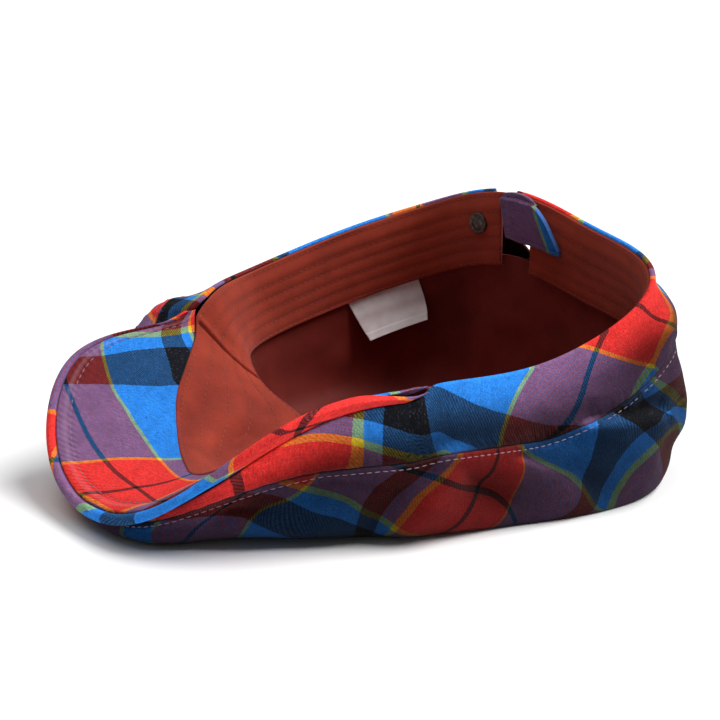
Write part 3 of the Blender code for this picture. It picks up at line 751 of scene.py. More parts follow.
class Recipe:
    """Builds a material's nodes with short calls."""

    def __init__(self, name):
        self.material = bpy.data.materials.new(name)
        self.material.use_nodes = True
        self.tree = self.material.node_tree
        self.tree.nodes.clear()
        self.shader = self.tree.nodes.new("ShaderNodeBsdfPrincipled")
        output = self.tree.nodes.new("ShaderNodeOutputMaterial")
        self.tree.links.new(self.shader.outputs["BSDF"], output.inputs["Surface"])

    def put(self, socket, value):
        """Sets a socket to a plain value, or links it to another node's output."""
        if isinstance(value, bpy.types.NodeSocket):
            self.tree.links.new(value, socket)
        elif value is not None:
            socket.default_value = value

    def math(self, operation, one, two=None):
        """Result of a sum on numbers."""
        node = self.tree.nodes.new("ShaderNodeMath")
        node.operation = operation
        self.put(node.inputs[0], one)
        self.put(node.inputs[1], two)
        return node.outputs[0]

    def times(self, one, two):
        """Product of two numbers."""
        return self.math("MULTIPLY", one, two)

    def mix(self, share, one, two, blend="MIX"):
        """One colour over another."""
        node = self.tree.nodes.new("ShaderNodeMix")
        node.data_type = "RGBA"
        node.blend_type = blend
        self.put(node.inputs["Factor"], share)
        self.put(node.inputs["A"], one)
        self.put(node.inputs["B"], two)
        return node.outputs["Result"]

    def map(self, name):
        """The two parts of one of the piece's own maps."""
        node = self.tree.nodes.new("ShaderNodeUVMap")
        node.uv_map = name
        parts = self.tree.nodes.new("ShaderNodeSeparateXYZ")
        self.put(parts.inputs[0], node.outputs[0])
        return parts.outputs[0], parts.outputs[1]

    def object_place(self):
        """Place on the piece, in metres."""
        return self.tree.nodes.new("ShaderNodeTexCoord").outputs["Object"]

    def noise(self, place, size, detail=2.0, stretch=(1.0, 1.0, 1.0)):
        """Cloudy noise from 0 to 1 with lumps of a size in metres."""
        mapping = self.tree.nodes.new("ShaderNodeMapping")
        mapping.inputs["Scale"].default_value = [value / size for value in stretch]
        self.put(mapping.inputs["Vector"], place)
        node = self.tree.nodes.new("ShaderNodeTexNoise")
        node.inputs["Scale"].default_value = 1.0
        node.inputs["Detail"].default_value = detail
        self.put(node.inputs["Vector"], mapping.outputs[0])
        return node.outputs["Fac"]

    def range(self, value, low, high, new_low, new_high):
        """A number moved from one range to another."""
        node = self.tree.nodes.new("ShaderNodeMapRange")
        for socket, number in zip(node.inputs[1:5], (low, high, new_low, new_high)):
            socket.default_value = number
        self.put(node.inputs[0], value)
        return node.outputs[0]

    def cloud(self, place, size, detail, low, high, stretch=(1.0, 1.0, 1.0)):
        """Cloudy noise that mostly stays between two numbers."""
        return self.range(self.noise(place, size, detail, stretch), 0.3, 0.7, low, high)

    def drift(self, place, size, detail, reach, stretch=(1.0, 1.0, 1.0)):
        """A slow shift to either side, in millimetres of cloth."""
        return self.range(self.noise(place, size, detail, stretch), 0, 1, -reach, reach)

    def grey(self, value):
        """One number as a colour."""
        return self.joined(value, value, value)

    def dimmed(self, colour, value):
        """A colour times a number."""
        return self.mix(1.0, colour, self.grey(value), "MULTIPLY")

    def joined(self, one, two, three=0.0):
        """Three numbers as one vector."""
        node = self.tree.nodes.new("ShaderNodeCombineXYZ")
        for socket, value in zip(node.inputs, (one, two, three)):
            self.put(socket, value)
        return node.outputs[0]

    def bump(self, height, distance, under=None):
        """Relief of a height map in metres."""
        node = self.tree.nodes.new("ShaderNodeBump")
        node.inputs["Strength"].default_value = 1.0
        node.inputs["Distance"].default_value = distance
        self.put(node.inputs["Height"], height)
        self.put(node.inputs["Normal"], under)
        return node.outputs[0]

    def finish(self, colour, relief, roughness, sheen=0.0, sheen_roughness=0.5, specular=0.5, metallic=0.0):
        """Sets the shader's own sockets."""
        self.put(self.shader.inputs["Base Color"], colour)
        self.put(self.shader.inputs["Normal"], relief)
        self.put(self.shader.inputs["Roughness"], roughness)
        self.shader.inputs["Sheen Weight"].default_value = sheen
        self.shader.inputs["Sheen Roughness"].default_value = sheen_roughness
        self.shader.inputs["Specular IOR Level"].default_value = specular
        self.shader.inputs["Metallic"].default_value = metallic
        return self.material


def colour_of(group, name):
    """One colour of a property group, with its alpha."""
    return (*getattr(group, name), 1.0)


def sett_bands(recipe, position, yarns):
    """Colour of the yarn at a place in millimetres along the cloth."""
    repeat = sum(width for _, width in SETT)
    turned = recipe.math("FLOORED_MODULO", recipe.math("DIVIDE", position, repeat), 1.0)
    ramp = recipe.tree.nodes.new("ShaderNodeValToRGB")
    ramp.color_ramp.interpolation = "CONSTANT"
    stops = ramp.color_ramp.elements
    at = 0.0
    for index, (yarn, width) in enumerate(SETT):
        stop = stops[index] if index < 2 else stops.new(at / repeat)
        stop.position = at / repeat
        stop.color = yarns[yarn]
        at += width
    recipe.put(ramp.inputs[0], turned)
    return ramp.outputs[0]


def flannel(name):
    """Brushed flannel in a two-over-two twill: check, threads, nap, worn edges, stitch puckers and painted shade.
    """
    cloth = bpy.context.scene.cap_cloth
    recipe = Recipe(name)
    times, math = recipe.times, recipe.math
    yarns = {yarn: colour_of(cloth, yarn) for yarn in ("red", "blue", "black", "yellow")}
    pitch = cloth.thread * MM
    place = recipe.object_place()
    across, up = recipe.map("Cloth")
    wander = recipe.drift(place, 0.022, 1.0, 0.9)
    stray = recipe.drift(place, 0.019, 1.0, 0.9, (1.1, 0.9, 1.3))
    fray = recipe.drift(place, 0.0006, 1.0, 0.35)
    across = math("ADD", across, math("ADD", wander, fray))
    up = math("ADD", up, math("SUBTRACT", stray, fray))
    laid = recipe.joined(across, up)
    numbers, colours, threads = [], [], []
    for way, slub in ((across, (2.3, 0.28, 1.0)), (up, (0.28, 2.3, 1.0))):
        turned = math("DIVIDE", way, pitch)
        number = math("FLOOR", turned)
        colour = sett_bands(recipe, times(number, pitch), yarns)
        numbers.append(number)
        colours.append(recipe.dimmed(colour, recipe.cloud(laid, 1.0, 2.0, 0.62, 1.38, slub)))
        threads.append(math("ABSOLUTE", math("SINE", times(turned, np.pi))))
    warp_colour, weft_colour = colours
    over = math("LESS_THAN", math("FLOORED_MODULO", math("ADD", *numbers), 4.0), 1.5)
    keep = recipe.range(recipe.noise(place, 0.0016, 3.0), 0.35, 0.68, cloth.twill, cloth.twill * 0.25)
    share = math("ADD", times(math("SUBTRACT", over, 0.5), keep), 0.5)
    fulled = recipe.tree.nodes.new("ShaderNodeGamma")
    fulled.inputs["Gamma"].default_value = 0.55
    recipe.put(fulled.inputs["Color"], recipe.mix(1.0, weft_colour, warp_colour, "MULTIPLY"))
    colour = recipe.mix(cloth.fulled, recipe.mix(share, weft_colour, warp_colour), fulled.outputs[0])
    mottle = recipe.cloud(place, 0.0075, 3.0, 0.90, 1.08)
    fibre = recipe.cloud(place, 0.00045, 2.0, 0.84, 1.14)
    colour = recipe.dimmed(colour, times(mottle, fibre))
    ends = recipe.noise(place, 0.0009, 4.0, (1.0, 1.6, 0.7))
    colour = recipe.mix(recipe.range(ends, 0.58, 0.76, 0.0, cloth.lint), colour, PALE_FIBRE)
    from_edge, along_edge = recipe.map("Edge")
    colour = recipe.mix(recipe.range(from_edge, 0.0, 1.4, cloth.wear, 0.0), colour, WORN_EDGE)
    # Painted shade: the colour dimmed as far as the Shade map says, down to the Shade property's brightness
    shade, _ = recipe.map("Shade")
    colour = recipe.dimmed(colour, recipe.range(shade, 0.0, 1.0, 1.0, cloth.shade))
    height = recipe.mix(over, recipe.grey(threads[1]), recipe.grey(threads[0]))
    fuzz = recipe.bump(recipe.noise(place, 0.0007, 3.0), cloth.nap)
    weave = recipe.bump(height, cloth.thread * 0.22, fuzz)
    wave = math("SINE", times(along_edge, 2 * np.pi / (cloth.stitch * MM)))
    from_row = math("ABSOLUTE", math("SUBTRACT", from_edge, SEAM_GROOVE[1] * MM))
    pucker = recipe.bump(times(wave, recipe.range(from_row, 0.0, 3.2, 1.0, 0.0)), 0.00010, weave)
    return recipe.finish(colour, pucker, 0.92, cloth.sheen, 0.45, 0.05)


def cotton(name, base, shade, thread, relief, sheen, roughness):
    """Plain woven cotton: fine twill, soft clouds of colour, and painted shade towards the shade colour as far as
    the Edge map says.
    """
    recipe = Recipe(name)
    place = recipe.object_place()
    fray = recipe.drift(place, 0.0011, 2.0, 0.2)
    numbers = []
    for way in recipe.map("Cloth"):
        numbers.append(recipe.math("FLOOR", recipe.math("DIVIDE", recipe.math("ADD", way, fray), thread)))
    over = recipe.math("LESS_THAN", recipe.math("FLOORED_MODULO", recipe.math("ADD", *numbers), 3.0), 1.5)
    mottle = recipe.cloud(place, 0.009, 3.0, 0.86, 1.10)
    bright = recipe.times(mottle, recipe.cloud(place, 0.0005, 2.0, 0.90, 1.10))
    bright = recipe.times(bright, recipe.range(over, 0.0, 1.0, 0.90, 1.06))
    # Painted shade: the Edge map mixes the colour towards the shade colour
    depth, _ = recipe.map("Edge")
    colour = recipe.dimmed(recipe.mix(depth, base, shade), bright)
    soft = recipe.bump(recipe.noise(place, 0.0045, 3.0), relief * 4)
    return recipe.finish(colour, recipe.bump(over, relief, soft), roughness, sheen, 0.4, 0.2)


def stitch_tree(material):
    """Geometry Nodes: one short thread at each step along a path, sunk into the cloth."""
    tree = bpy.data.node_groups.new("Stitch row", "GeometryNodeTree")
    face, nodes, link = tree.interface, tree.nodes, tree.links.new
    face.new_socket("Geometry", in_out="INPUT", socket_type="NodeSocketGeometry")
    for title in ("Pitch", "Length", "Thread"):
        face.new_socket(title, in_out="INPUT", socket_type="NodeSocketFloat")
    face.new_socket("Seed", in_out="INPUT", socket_type="NodeSocketInt")
    face.new_socket("Geometry", in_out="OUTPUT", socket_type="NodeSocketGeometry")
    source = nodes.new("NodeGroupInput")
    points = nodes.new("GeometryNodeCurveToPoints")
    points.mode = "LENGTH"
    link(source.outputs["Geometry"], points.inputs["Curve"])
    link(source.outputs["Pitch"], points.inputs["Length"])
    thread = nodes.new("GeometryNodeMeshUVSphere")
    for side in ("Segments", "Rings"):
        thread.inputs[side].default_value = 6
    link(source.outputs["Thread"], thread.inputs["Radius"])
    ratio, half = nodes.new("ShaderNodeMath"), nodes.new("ShaderNodeMath")
    ratio.operation, half.operation = "DIVIDE", "MULTIPLY"
    half.inputs[1].default_value = 0.5
    link(source.outputs["Length"], ratio.inputs[0])
    link(source.outputs["Thread"], ratio.inputs[1])
    link(ratio.outputs[0], half.inputs[0])
    stretch = nodes.new("ShaderNodeCombineXYZ")
    for socket in stretch.inputs[:2]:
        socket.default_value = 1.0
    link(half.outputs[0], stretch.inputs[2])
    jitter = nodes.new("FunctionNodeRandomValue")
    jitter.data_type = "FLOAT_VECTOR"
    jitter.inputs["Min"].default_value = (-STITCH_WOBBLE, -STITCH_WOBBLE, 0.0)
    jitter.inputs["Max"].default_value = (STITCH_WOBBLE, STITCH_WOBBLE, 0.0)
    link(source.outputs["Seed"], jitter.inputs["Seed"])
    wobble = nodes.new("FunctionNodeEulerToRotation")
    link(jitter.outputs[0], wobble.inputs[0])
    aim = nodes.new("FunctionNodeAlignRotationToVector")
    aim.axis = "Z"
    link(points.outputs["Tangent"], aim.inputs["Vector"])
    turn = nodes.new("FunctionNodeRotateRotation")
    turn.rotation_space = "LOCAL"
    link(aim.outputs[0], turn.inputs[0])
    link(wobble.outputs[0], turn.inputs[1])
    place = nodes.new("GeometryNodeInstanceOnPoints")
    link(points.outputs["Points"], place.inputs["Points"])
    link(thread.outputs["Mesh"], place.inputs["Instance"])
    link(turn.outputs[0], place.inputs["Rotation"])
    link(stretch.outputs[0], place.inputs["Scale"])
    last = place
    for kind in ("GeometryNodeRealizeInstances", "GeometryNodeSetShadeSmooth", "GeometryNodeSetMaterial"):
        node = nodes.new(kind)
        link(last.outputs[0], node.inputs[0])
        last = node
    last.inputs["Material"].default_value = material
    link(last.outputs[0], nodes.new("NodeGroupOutput").inputs[0])
    return tree


def stitches(name, paths, material, pitch, length, thread, seed):
    """One piece of all the stitches along some paths, made by Geometry Nodes and then a plain mesh."""
    curve = bpy.data.curves.new(name + "_path", "CURVE")
    curve.dimensions = "3D"
    for path in paths:
        spline = curve.splines.new("POLY")
        spline.points.add(len(path) - 1)
        flat = np.concatenate((path - SHIFT, np.ones((len(path), 1))), 1)
        spline.points.foreach_set("co", flat.astype(np.float32).ravel())
    row = placed(name + "_path", curve)
    tree = stitch_tree(material)
    modifier = row.modifiers.new("Stitches", "NODES")
    modifier.node_group = tree
    values = {"Pitch": pitch, "Length": length, "Thread": thread, "Seed": seed}
    for item in tree.interface.items_tree:
        if item.in_out == "INPUT" and item.name in values:
            modifier[item.identifier] = values[item.name]
    bpy.context.view_layer.update()
    graph = bpy.context.evaluated_depsgraph_get()
    mesh = bpy.data.meshes.new_from_object(row.evaluated_get(graph), depsgraph=graph)
    mesh.name = name
    bpy.data.objects.remove(row, do_unlink=True)
    bpy.data.curves.remove(curve)
    return placed(name, mesh)


def thread_finish(name, base):
    """Twisted sewing thread."""
    recipe = Recipe(name)
    twist = recipe.noise(recipe.object_place(), 0.0003, 1.0)
    colour = recipe.dimmed(base, recipe.range(twist, 0.3, 0.7, 0.75, 1.15))
    return recipe.finish(colour, recipe.bump(twist, 0.00006), 0.6, 0.3, 0.4, 0.3)


def crown_fine(turn, run):
    """Outside of the crown with its small folds and the cloth's slackness."""
    plain = crown(turn, run)
    slack = slackness(plain, CROWN_SLACK) * between(run, 0, FOOT_AT, 0.06, 0.08)
    lift = fold_height(FINE_FOLDS, turn, run) + slack
    return plain + normal(crown_plain, turn, run) * lift[..., None]


def crown_cloth(name, turn, run, face, lay, is_side, material, **options):
    """Outer cloth of the crown on a grid of turn and run, rounded where it ends at a seam."""
    out = unit(np.cross(np.gradient(face, axis=0), np.gradient(face, axis=1)))
    out = out * np.sign((out * normal(crown_plain, turn, run)).sum(-1).mean())
    down, along = walked(face, 0), walked(face, 1) * MM
    near_seam = down[-1:] - down if is_side else down
    along = np.broadcast_to(along[-1:] if is_side else along[:1], turn.shape)
    thick = CLOTH + (RIM_ROLL - CLOTH) * (1 - held(turn)) * smooth(1 - run / ROLL_RUN) * is_side
    hem_round = edge_round(down, thick / 2) * is_side
    seam_round = edge_round(near_seam, CLOTH * 0.9)
    groove = ridge(near_seam, *SEAM_GROOVE) * (not is_side)
    pull = SEAM_PULL * np.sin(along * 2 * np.pi / PULL_WAVE) * np.exp(-near_seam / PULL_FADE)
    lift = ridge(near_seam, *SEAM_PUFF) + pull - groove - seam_round - hem_round
    outer = face + out * lift[..., None]
    sink = np.maximum(thick - hem_round - 0.2 * seam_round, hem_round + 0.0001)
    inner = face - out * sink[..., None]
    # Painted shade for the Shade map: low on the crown, in the folds and along the seam
    folds = fold_height(FOLDS, turn, run) + fold_height(FINE_FOLDS, turn, run)
    tuck = np.exp(-near_seam / SHADE_TUCK[1]) * SHADE_TUCK[0]
    shade = shaded(outer, out, tuck - folds / SHADE_FOLD, hem(turn))
    edge = np.stack((near_seam * MM, along), -1)
    return cloth_body(name, outer, inner, lay, edge, material, shade=shade, **options)


def side_panel(name, first, last, slot, lay_table, material):
    """Crescent between the hem and the top panel; slot is 0 or 1, the end at the back."""
    along, share = np.meshgrid(spaced(0.38, 420), spaced(0.034, 56))
    run = share * seam(first + (last - first) * along)
    start = first + (1 - slot) * notch_half(run)
    stop = last - slot * notch_half(run)
    turn = start + (stop - start) * along
    run = share * (seam(turn) - SEAM_HALF)
    face = crown_fine(turn, run)
    lay = draped(through(lay_table, turn[0]), face, walked(face, 0) * MM)
    return crown_cloth(name, turn, run, face, lay, True, material)


def near_top_lay(turn, run):
    """Cloth map of the near part of the top: through its seam, its widest ring and its foot."""
    table = through(TOP_LAY, turn[0])
    start = seam(turn[0])
    at = np.clip((run - start) / (FOOT_AT - start), 0, 1)[..., None]
    knee = ((BELLY_AT - start) / (FOOT_AT - start))[None, :, None]
    lay = table[:, 0:2] * ((at - knee) * (at - 1) / knee)
    lay = lay + table[:, 2:4] * (at * (at - 1) / (knee * (knee - 1)))
    lay = lay + table[:, 4:6] * (at * (at - knee) / (1 - knee))
    under = np.clip((run - FOOT_AT) / (1 - FOOT_AT), 0, 1)[..., None]
    return lay + (np.array(TOP_MIDDLE_LAY) - lay) * under


def far_top_lay(face):
    """Cloth map of the far part of the top: flat, spread from the middle."""
    down = walked(face, 0) * MM
    away = face - CENTRE
    angle = np.arctan2(away[..., 1], away[..., 0])
    reach = down[-1:] - down
    return np.stack((-reach * np.sin(angle), -reach * np.cos(angle)), -1) + np.array(TOP_FAR_LAY)


def top_panel(material):
    """The top, from its seam round under the cap, in a near part and a far part of the cloth map."""
    parts = [np.linspace(first, last, count) for first, last, count in TOP_PARTS]
    turn, share = np.meshgrid(np.concatenate(parts), spaced(0.12, 78, both=False))
    first = seam(turn) + SEAM_HALF
    run = first + (TOP_LAST - first) * share ** 1.15
    face = crown_fine(turn, run)
    near = len(parts[0])
    lay = np.concatenate((near_top_lay(turn[:, :near], run[:, :near]), far_top_lay(face[:, near:])), 1)
    return crown_cloth("top_panel_cloth", turn, run, face, lay, False, material, closed=True, doubled=(near,))


def colour_property(title, about, value):
    """A colour that can be changed in the sidebar."""
    return bpy.props.FloatVectorProperty(
        name=title, description=about, subtype="COLOR", size=3, default=value, min=0, max=1
    )


def share_property(title, about, value):
    """A share from 0 to 1 that can be changed in the sidebar."""
    return bpy.props.FloatProperty(name=title, description=about, default=value, min=0, max=1)


def length_property(title, about, value):
    """A length that can be changed in the sidebar."""
    return bpy.props.FloatProperty(name=title, description=about, unit="LENGTH", default=value, min=0, precision=5)


class CapCloth(bpy.types.PropertyGroup):
    """Colours and sizes of the tartan."""

    red: colour_property("Red", "Red yarn", (0.90, 0.050, 0.045))
    blue: colour_property("Blue", "Blue yarn", (0.034, 0.280, 0.860))
    black: colour_property("Black", "Black yarn", (0.010, 0.011, 0.016))
    yellow: colour_property("Yellow", "Yellow yarn", (0.90, 0.66, 0.045))
    thread: length_property("Thread", "Distance between threads", 0.00042)
    stitch: length_property("Stitch", "Distance between stitches", 0.0030)
    nap: length_property("Nap", "Depth of the brushed nap", 0.00022)
    twill: share_property("Twill", "How clearly the twill lines show through the nap", 0.95)
    fulled: share_property("Fulled", "How far the two yarns have run together", 0.70)
    shade: share_property("Shade", "Brightness left in the deepest folds", 0.10)
    lint: share_property("Lint", "Share of pale fibre ends on the surface", 0.11)
    wear: share_property("Wear", "Paleness of the worn edges", 0.18)
    sheen: share_property("Sheen", "Glow of the nap", 0.03)


class CapTrim(bpy.types.PropertyGroup):
    """Colours of the inside and of the small parts."""

    band: colour_property("Sweatband", "Cotton of the sweatband", (0.285, 0.031, 0.013))
    # The sweatband's painted shade: its colour in its grooves and folds and over its dimmed front
    band_shade: colour_property("Sweatband grooves", "Painted shade of the cotton in its grooves and folds", (0.150, 0.014, 0.008))
    # The lining is the sweatband's rust, a little darker of its own and darker still as painted shade of the
    # crown's inside
    lining: colour_property("Lining", "Cloth of the lining", (0.175, 0.016, 0.010))
    label: colour_property("Label", "Ribbon of the label", (0.80, 0.72, 0.72))
    metal: colour_property("Snap", "Enamel of the snap", (0.030, 0.020, 0.016))
    thread_band: colour_property("Band thread", "Thread of the sweatband", (0.23, 0.026, 0.011))
    thread_outer: colour_property("Outer thread", "Thread of the topstitching", (0.26, 0.17, 0.22))


class CapStage(bpy.types.PropertyGroup):
    """Floor, lights and camera."""

    floor: colour_property("Floor", "Colour of the floor", (0.86, 0.86, 0.86))
    azimuth: bpy.props.FloatProperty(
        name="Azimuth", description="Way round from the front", subtype="ANGLE", default=np.radians(46.0)
    )
    elevation: bpy.props.FloatProperty(
        name="Elevation", description="Height above the horizon", subtype="ANGLE", default=np.radians(17.0)
    )
    distance: length_property("Distance", "From the camera to the cap", 1.025)
    lens: bpy.props.FloatProperty(name="Lens", description="Focal length in millimetres", default=125.0, min=10)
    sky: bpy.props.FloatProperty(name="Sky", description="Strength of the even light", default=0.13, min=0)
    key: bpy.props.FloatProperty(name="Key", description="Strength of the main light", default=4.2, min=0)


class CAP_OT_stage(bpy.types.Operator):
    """Floor, lights and camera"""

    bl_idname = "cap.stage"
    bl_label = "Stage"

    def execute(self, context):
        stage = context.scene.cap_stage
        mesh = bpy.data.meshes.new("floor")
        corners = [(x * FLOOR_HALF, y * FLOOR_HALF, 0) for x, y in ((-1, -1), (1, -1), (1, 1), (-1, 1))]
        mesh.from_pydata(corners, [], [(0, 1, 2, 3)])
        recipe = Recipe("floor_paint")
        relief = recipe.bump(recipe.noise(recipe.object_place(), 0.004, 2.0), 0.00002)
        mesh.materials.append(recipe.finish(colour_of(stage, "floor"), relief, 0.75, 0.0, 0.5, 0.2))
        floor = placed("floor", mesh)
        world = bpy.data.worlds.new("studio")
        world.use_nodes = True
        background = world.node_tree.nodes["Background"]
        background.inputs["Color"].default_value = (1, 1, 1, 1)
        background.inputs["Strength"].default_value = stage.sky
        context.scene.world = world
        context.scene.view_settings.view_transform = "Standard"
        for name, spot, spread, share in LAMPS:
            lamp = bpy.data.lights.new(name, "SUN")
            lamp.energy = stage.key * share
            lamp.angle = spread
            away = np.array(spot) / np.linalg.norm(spot)
            side = unit(np.cross(np.array((0, 0, 1.0)), away))
            placed(name, lamp).matrix_world = pose(side, np.cross(away, side), away, spot)
        make_camera(context, stage)
        return {"FINISHED"}


def pose(side, upward, away, spot):
    """World matrix from three directions and a place."""
    rows = [(side[i], upward[i], away[i], spot[i]) for i in range(3)]
    return Matrix((*rows, (0, 0, 0, 1)))


def make_camera(context, stage):
    """The camera that looks over the near side of the crown into the cap."""
    turn, rise = stage.azimuth, stage.elevation
    away = np.array((np.sin(turn) * np.cos(rise), -np.cos(turn) * np.cos(rise), np.sin(rise)))
    side = np.array((np.cos(turn), np.sin(turn), 0.0))
    upward = np.cross(away, side)
    camera = bpy.data.cameras.new("camera")
    camera.sensor_width = SENSOR
    camera.lens = stage.lens
    camera.clip_start = 0.01
    pixel = stage.distance * camera.sensor_width / camera.lens / PICTURE
    target = (MIDDLE[1] * upward - MIDDLE[0] * side) * pixel - SHIFT
    context.scene.camera = placed("camera", camera)
    context.scene.camera.matrix_world = pose(side, upward, away, target + away * stage.distance)


class CAP_OT_crown(bpy.types.Operator):
    """Side panels and top panel of the crown"""

    bl_idname = "cap.crown"
    bl_label = "Crown"

    def execute(self, context):
        cloth = flannel("tartan_crown")
        gap = SEAM_HALF / 2 / STATION_SPAN
        right = side_panel("side_panel_right_cloth", gap, SLOT - gap, 1, SIDE_RIGHT_LAY, cloth)
        settle(right, "outer_cloth", "side_panel_right")
        left = side_panel("side_panel_left_cloth", SLOT + gap, COUNT - gap, 0, SIDE_LEFT_LAY, cloth)
        settle(left, "outer_cloth", "side_panel_left")
        top = top_panel(cloth)
        settle(top, "outer_cloth", "top_panel")
        return {"FINISHED"}


def peak_fine(turn, reach):
    """Underside of the peak with the slackness of its cloth."""
    face = peak_top(turn, reach)
    out = -peak_normal(turn, reach)
    fade = np.clip(peak_depth(turn) / 0.02, 0, 1) * between(reach, 0, 1, 0.15)
    return face + out * (slackness(face, PEAK_SLACK) * fade)[..., None], out


class CAP_OT_peak(bpy.types.Operator):
    """Peak: the cloth of its underside and its outer cloth over the board"""

    bl_idname = "cap.peak"
    bl_label = "Peak"

    def execute(self, context):
        cloth = flannel("tartan_peak")
        turn_line = np.linspace(PEAK_FIRST, PEAK_LAST, 300)
        turn, share = np.meshgrid(turn_line, spaced(0.045, 52))
        depth = peak_depth(turn)
        thin = np.clip(depth / PEAK_TAPER, 0, 1)
        roll = PEAK_ROLL * thin
        near = through(BAND_LAID, turn[0])[:, 0] - 0.025
        far = 1 - (2 * roll - 0.0001) / depth
        reach = near + (far - near) * share
        face, out = peak_fine(turn, reach)
        from_edge = (far - reach) * depth
        groove = ridge(from_edge, *PEAK_GROOVE) * thin
        dip = edge_round(from_edge, 0.0008) + groove - ridge(from_edge, *PEAK_PUFF)
        outer = face - out * dip[..., None]
        inner = face - out * (PEAK_UNDER_THICK * thin)[..., None]
        table = through(PEAK_LAY, turn_line)
        lay = table[None, :, 0:2] + (table[None, :, 2:4] - table[None, :, 0:2]) * reach[..., None]
        from_row = np.abs(from_edge - PEAK_GROOVE[1] + SEAM_GROOVE[1]) * MM
        edge = np.stack((from_row, walked(face, 1) * MM), -1)
        under = cloth_body("peak_under_cloth", outer, inner, lay, edge, cloth)
        settle(under, "outer_cloth", "peak_under")
        self.roll_and_back(turn_line, reach, cloth)
        return {"FINISHED"}

    def roll_and_back(self, turn_line, reach, cloth):
        """The outer cloth: up round the edge of the board and over its back."""
        depth = peak_depth(turn_line)
        thin = np.clip(depth / PEAK_TAPER, 0, 1)
        roll = PEAK_ROLL * thin
        low = PEAK_UNDER_THICK * thin + PEAK_GAP
        back = (PEAK_UNDER_THICK + PEAK_BOARD_THICK) * thin + GAP
        first_angle = np.arcsin(PEAK_UNDER_THICK / PEAK_ROLL - 1)
        last_angle = np.arcsin((PEAK_UNDER_THICK + PEAK_BOARD_THICK) / PEAK_ROLL - 1)
        places = [(share, low) for share in np.linspace(0, 1, 8)]
        places += [(angle, None) for angle in np.linspace(first_angle, -np.pi - last_angle, 26)]
        places += [(share, back) for share in np.linspace(1, 0, 26)[1:]]
        rings = []
        for value, sunken in places:
            at = reach[0] + (reach[-1] - reach[0]) * value
            if sunken is None:
                at = 1 - roll * (1 + np.cos(value)) / depth
                sunken = roll * (1 + np.sin(value))
            rings.append(peak_top(turn_line, at) + peak_normal(turn_line, at) * sunken[..., None])
        rings = np.stack(rings)
        tip = TIP_THIN * smooth((turn_line - TIP_FROM) / TIP_OVER)[None, :, None]
        pivot = (rings.mean(0) + hem(turn_line)) / 2 - np.array((0, 0, TIP_DROP))
        rings = rings + (pivot[None] - rings) * tip
        girth = walked(rings, 0) * MM
        girth = girth - girth[12:13]
        path = through(ROLL_LAY, turn_line)
        lay = path[None] - right_of(path)[None] * girth[..., None]
        along = np.broadcast_to(walked(rings, 1)[20:21] * MM, girth.shape)
        edge = np.stack((np.full_like(girth, 9.0), along), -1)
        settle(ring_body("peak_upper_cloth", rings, lay, edge, cloth), "outer_cloth", "peak_upper")


def ring_body(name, rings, lay, edge, material):
    """A closed body from an outline at each column: rows go round the outline, columns along the piece."""
    rows, columns = rings.shape[:2]
    points = rings.reshape(-1, 3)
    number = np.arange(rows * columns).reshape(rows, columns)
    after = np.roll(number, -1, 0)
    corners = (number[:, :-1], number[:, 1:], after[:, 1:], after[:, :-1])
    quads = np.stack([corner.ravel() for corner in corners], 1)
    faces = quads.tolist() + [number[:, 0].tolist(), number[::-1, -1].tolist()]
    a, b, c = (points[quads[:, corner]] - rings[0, 0] for corner in range(3))
    if (a * np.cross(b, c)).sum() < 0:
        faces = [face[::-1] for face in faces]
    mesh = bpy.data.meshes.new(name)
    mesh.from_pydata((points - SHIFT).tolist(), [], faces)
    order = np.concatenate(faces)
    for title, grid_map in (("Cloth", lay), ("Edge", edge), ("Shade", edge * 0)):
        layer = mesh.uv_layers.new(name=title)
        layer.data.foreach_set("uv", grid_map.reshape(-1, 2)[order].astype(np.float32).ravel())
    mesh.polygons.foreach_set("use_smooth", np.ones(len(faces), bool))
    mesh.update()
    mesh.materials.append(material)
    return placed(name, mesh)


def band_face(turn, share):
    """The finished sweatband: laid on the peak at the front, snug under the rim round the sides."""
    face = band(turn, share)
    root = 0 * turn
    pull = peak_top(turn, through(BAND_LAID, turn)[..., 0]) - peak_top(turn, root)
    pull = pull - peak_normal(turn, root) * BAND_LIFT * held(turn)[..., None]
    face = face + pull * (smooth(1 - share) ** 1.3)[..., None]
    snug = ((1 - held(turn)) * smooth(1 - share / 0.16))[..., None]
    face = face + snug * (np.array((0, 0, 0.0016)) - 0.0010 * inward(turn))
    return face + inward(turn) * (ridge(turn, *BAND_WIDER) * share ** 1.5)[..., None]


def band_padding(share):
    """1 in the padding between the sweatband's rows of stitching, 0 on the rows."""
    nearest = np.abs(share[..., None] - np.array(BAND_ROWS)).min(-1)
    half = (BAND_ROWS[2] - BAND_ROWS[1]) / 2
    return np.sin(np.clip(nearest / half, 0, 1) * np.pi / 2) ** 0.7


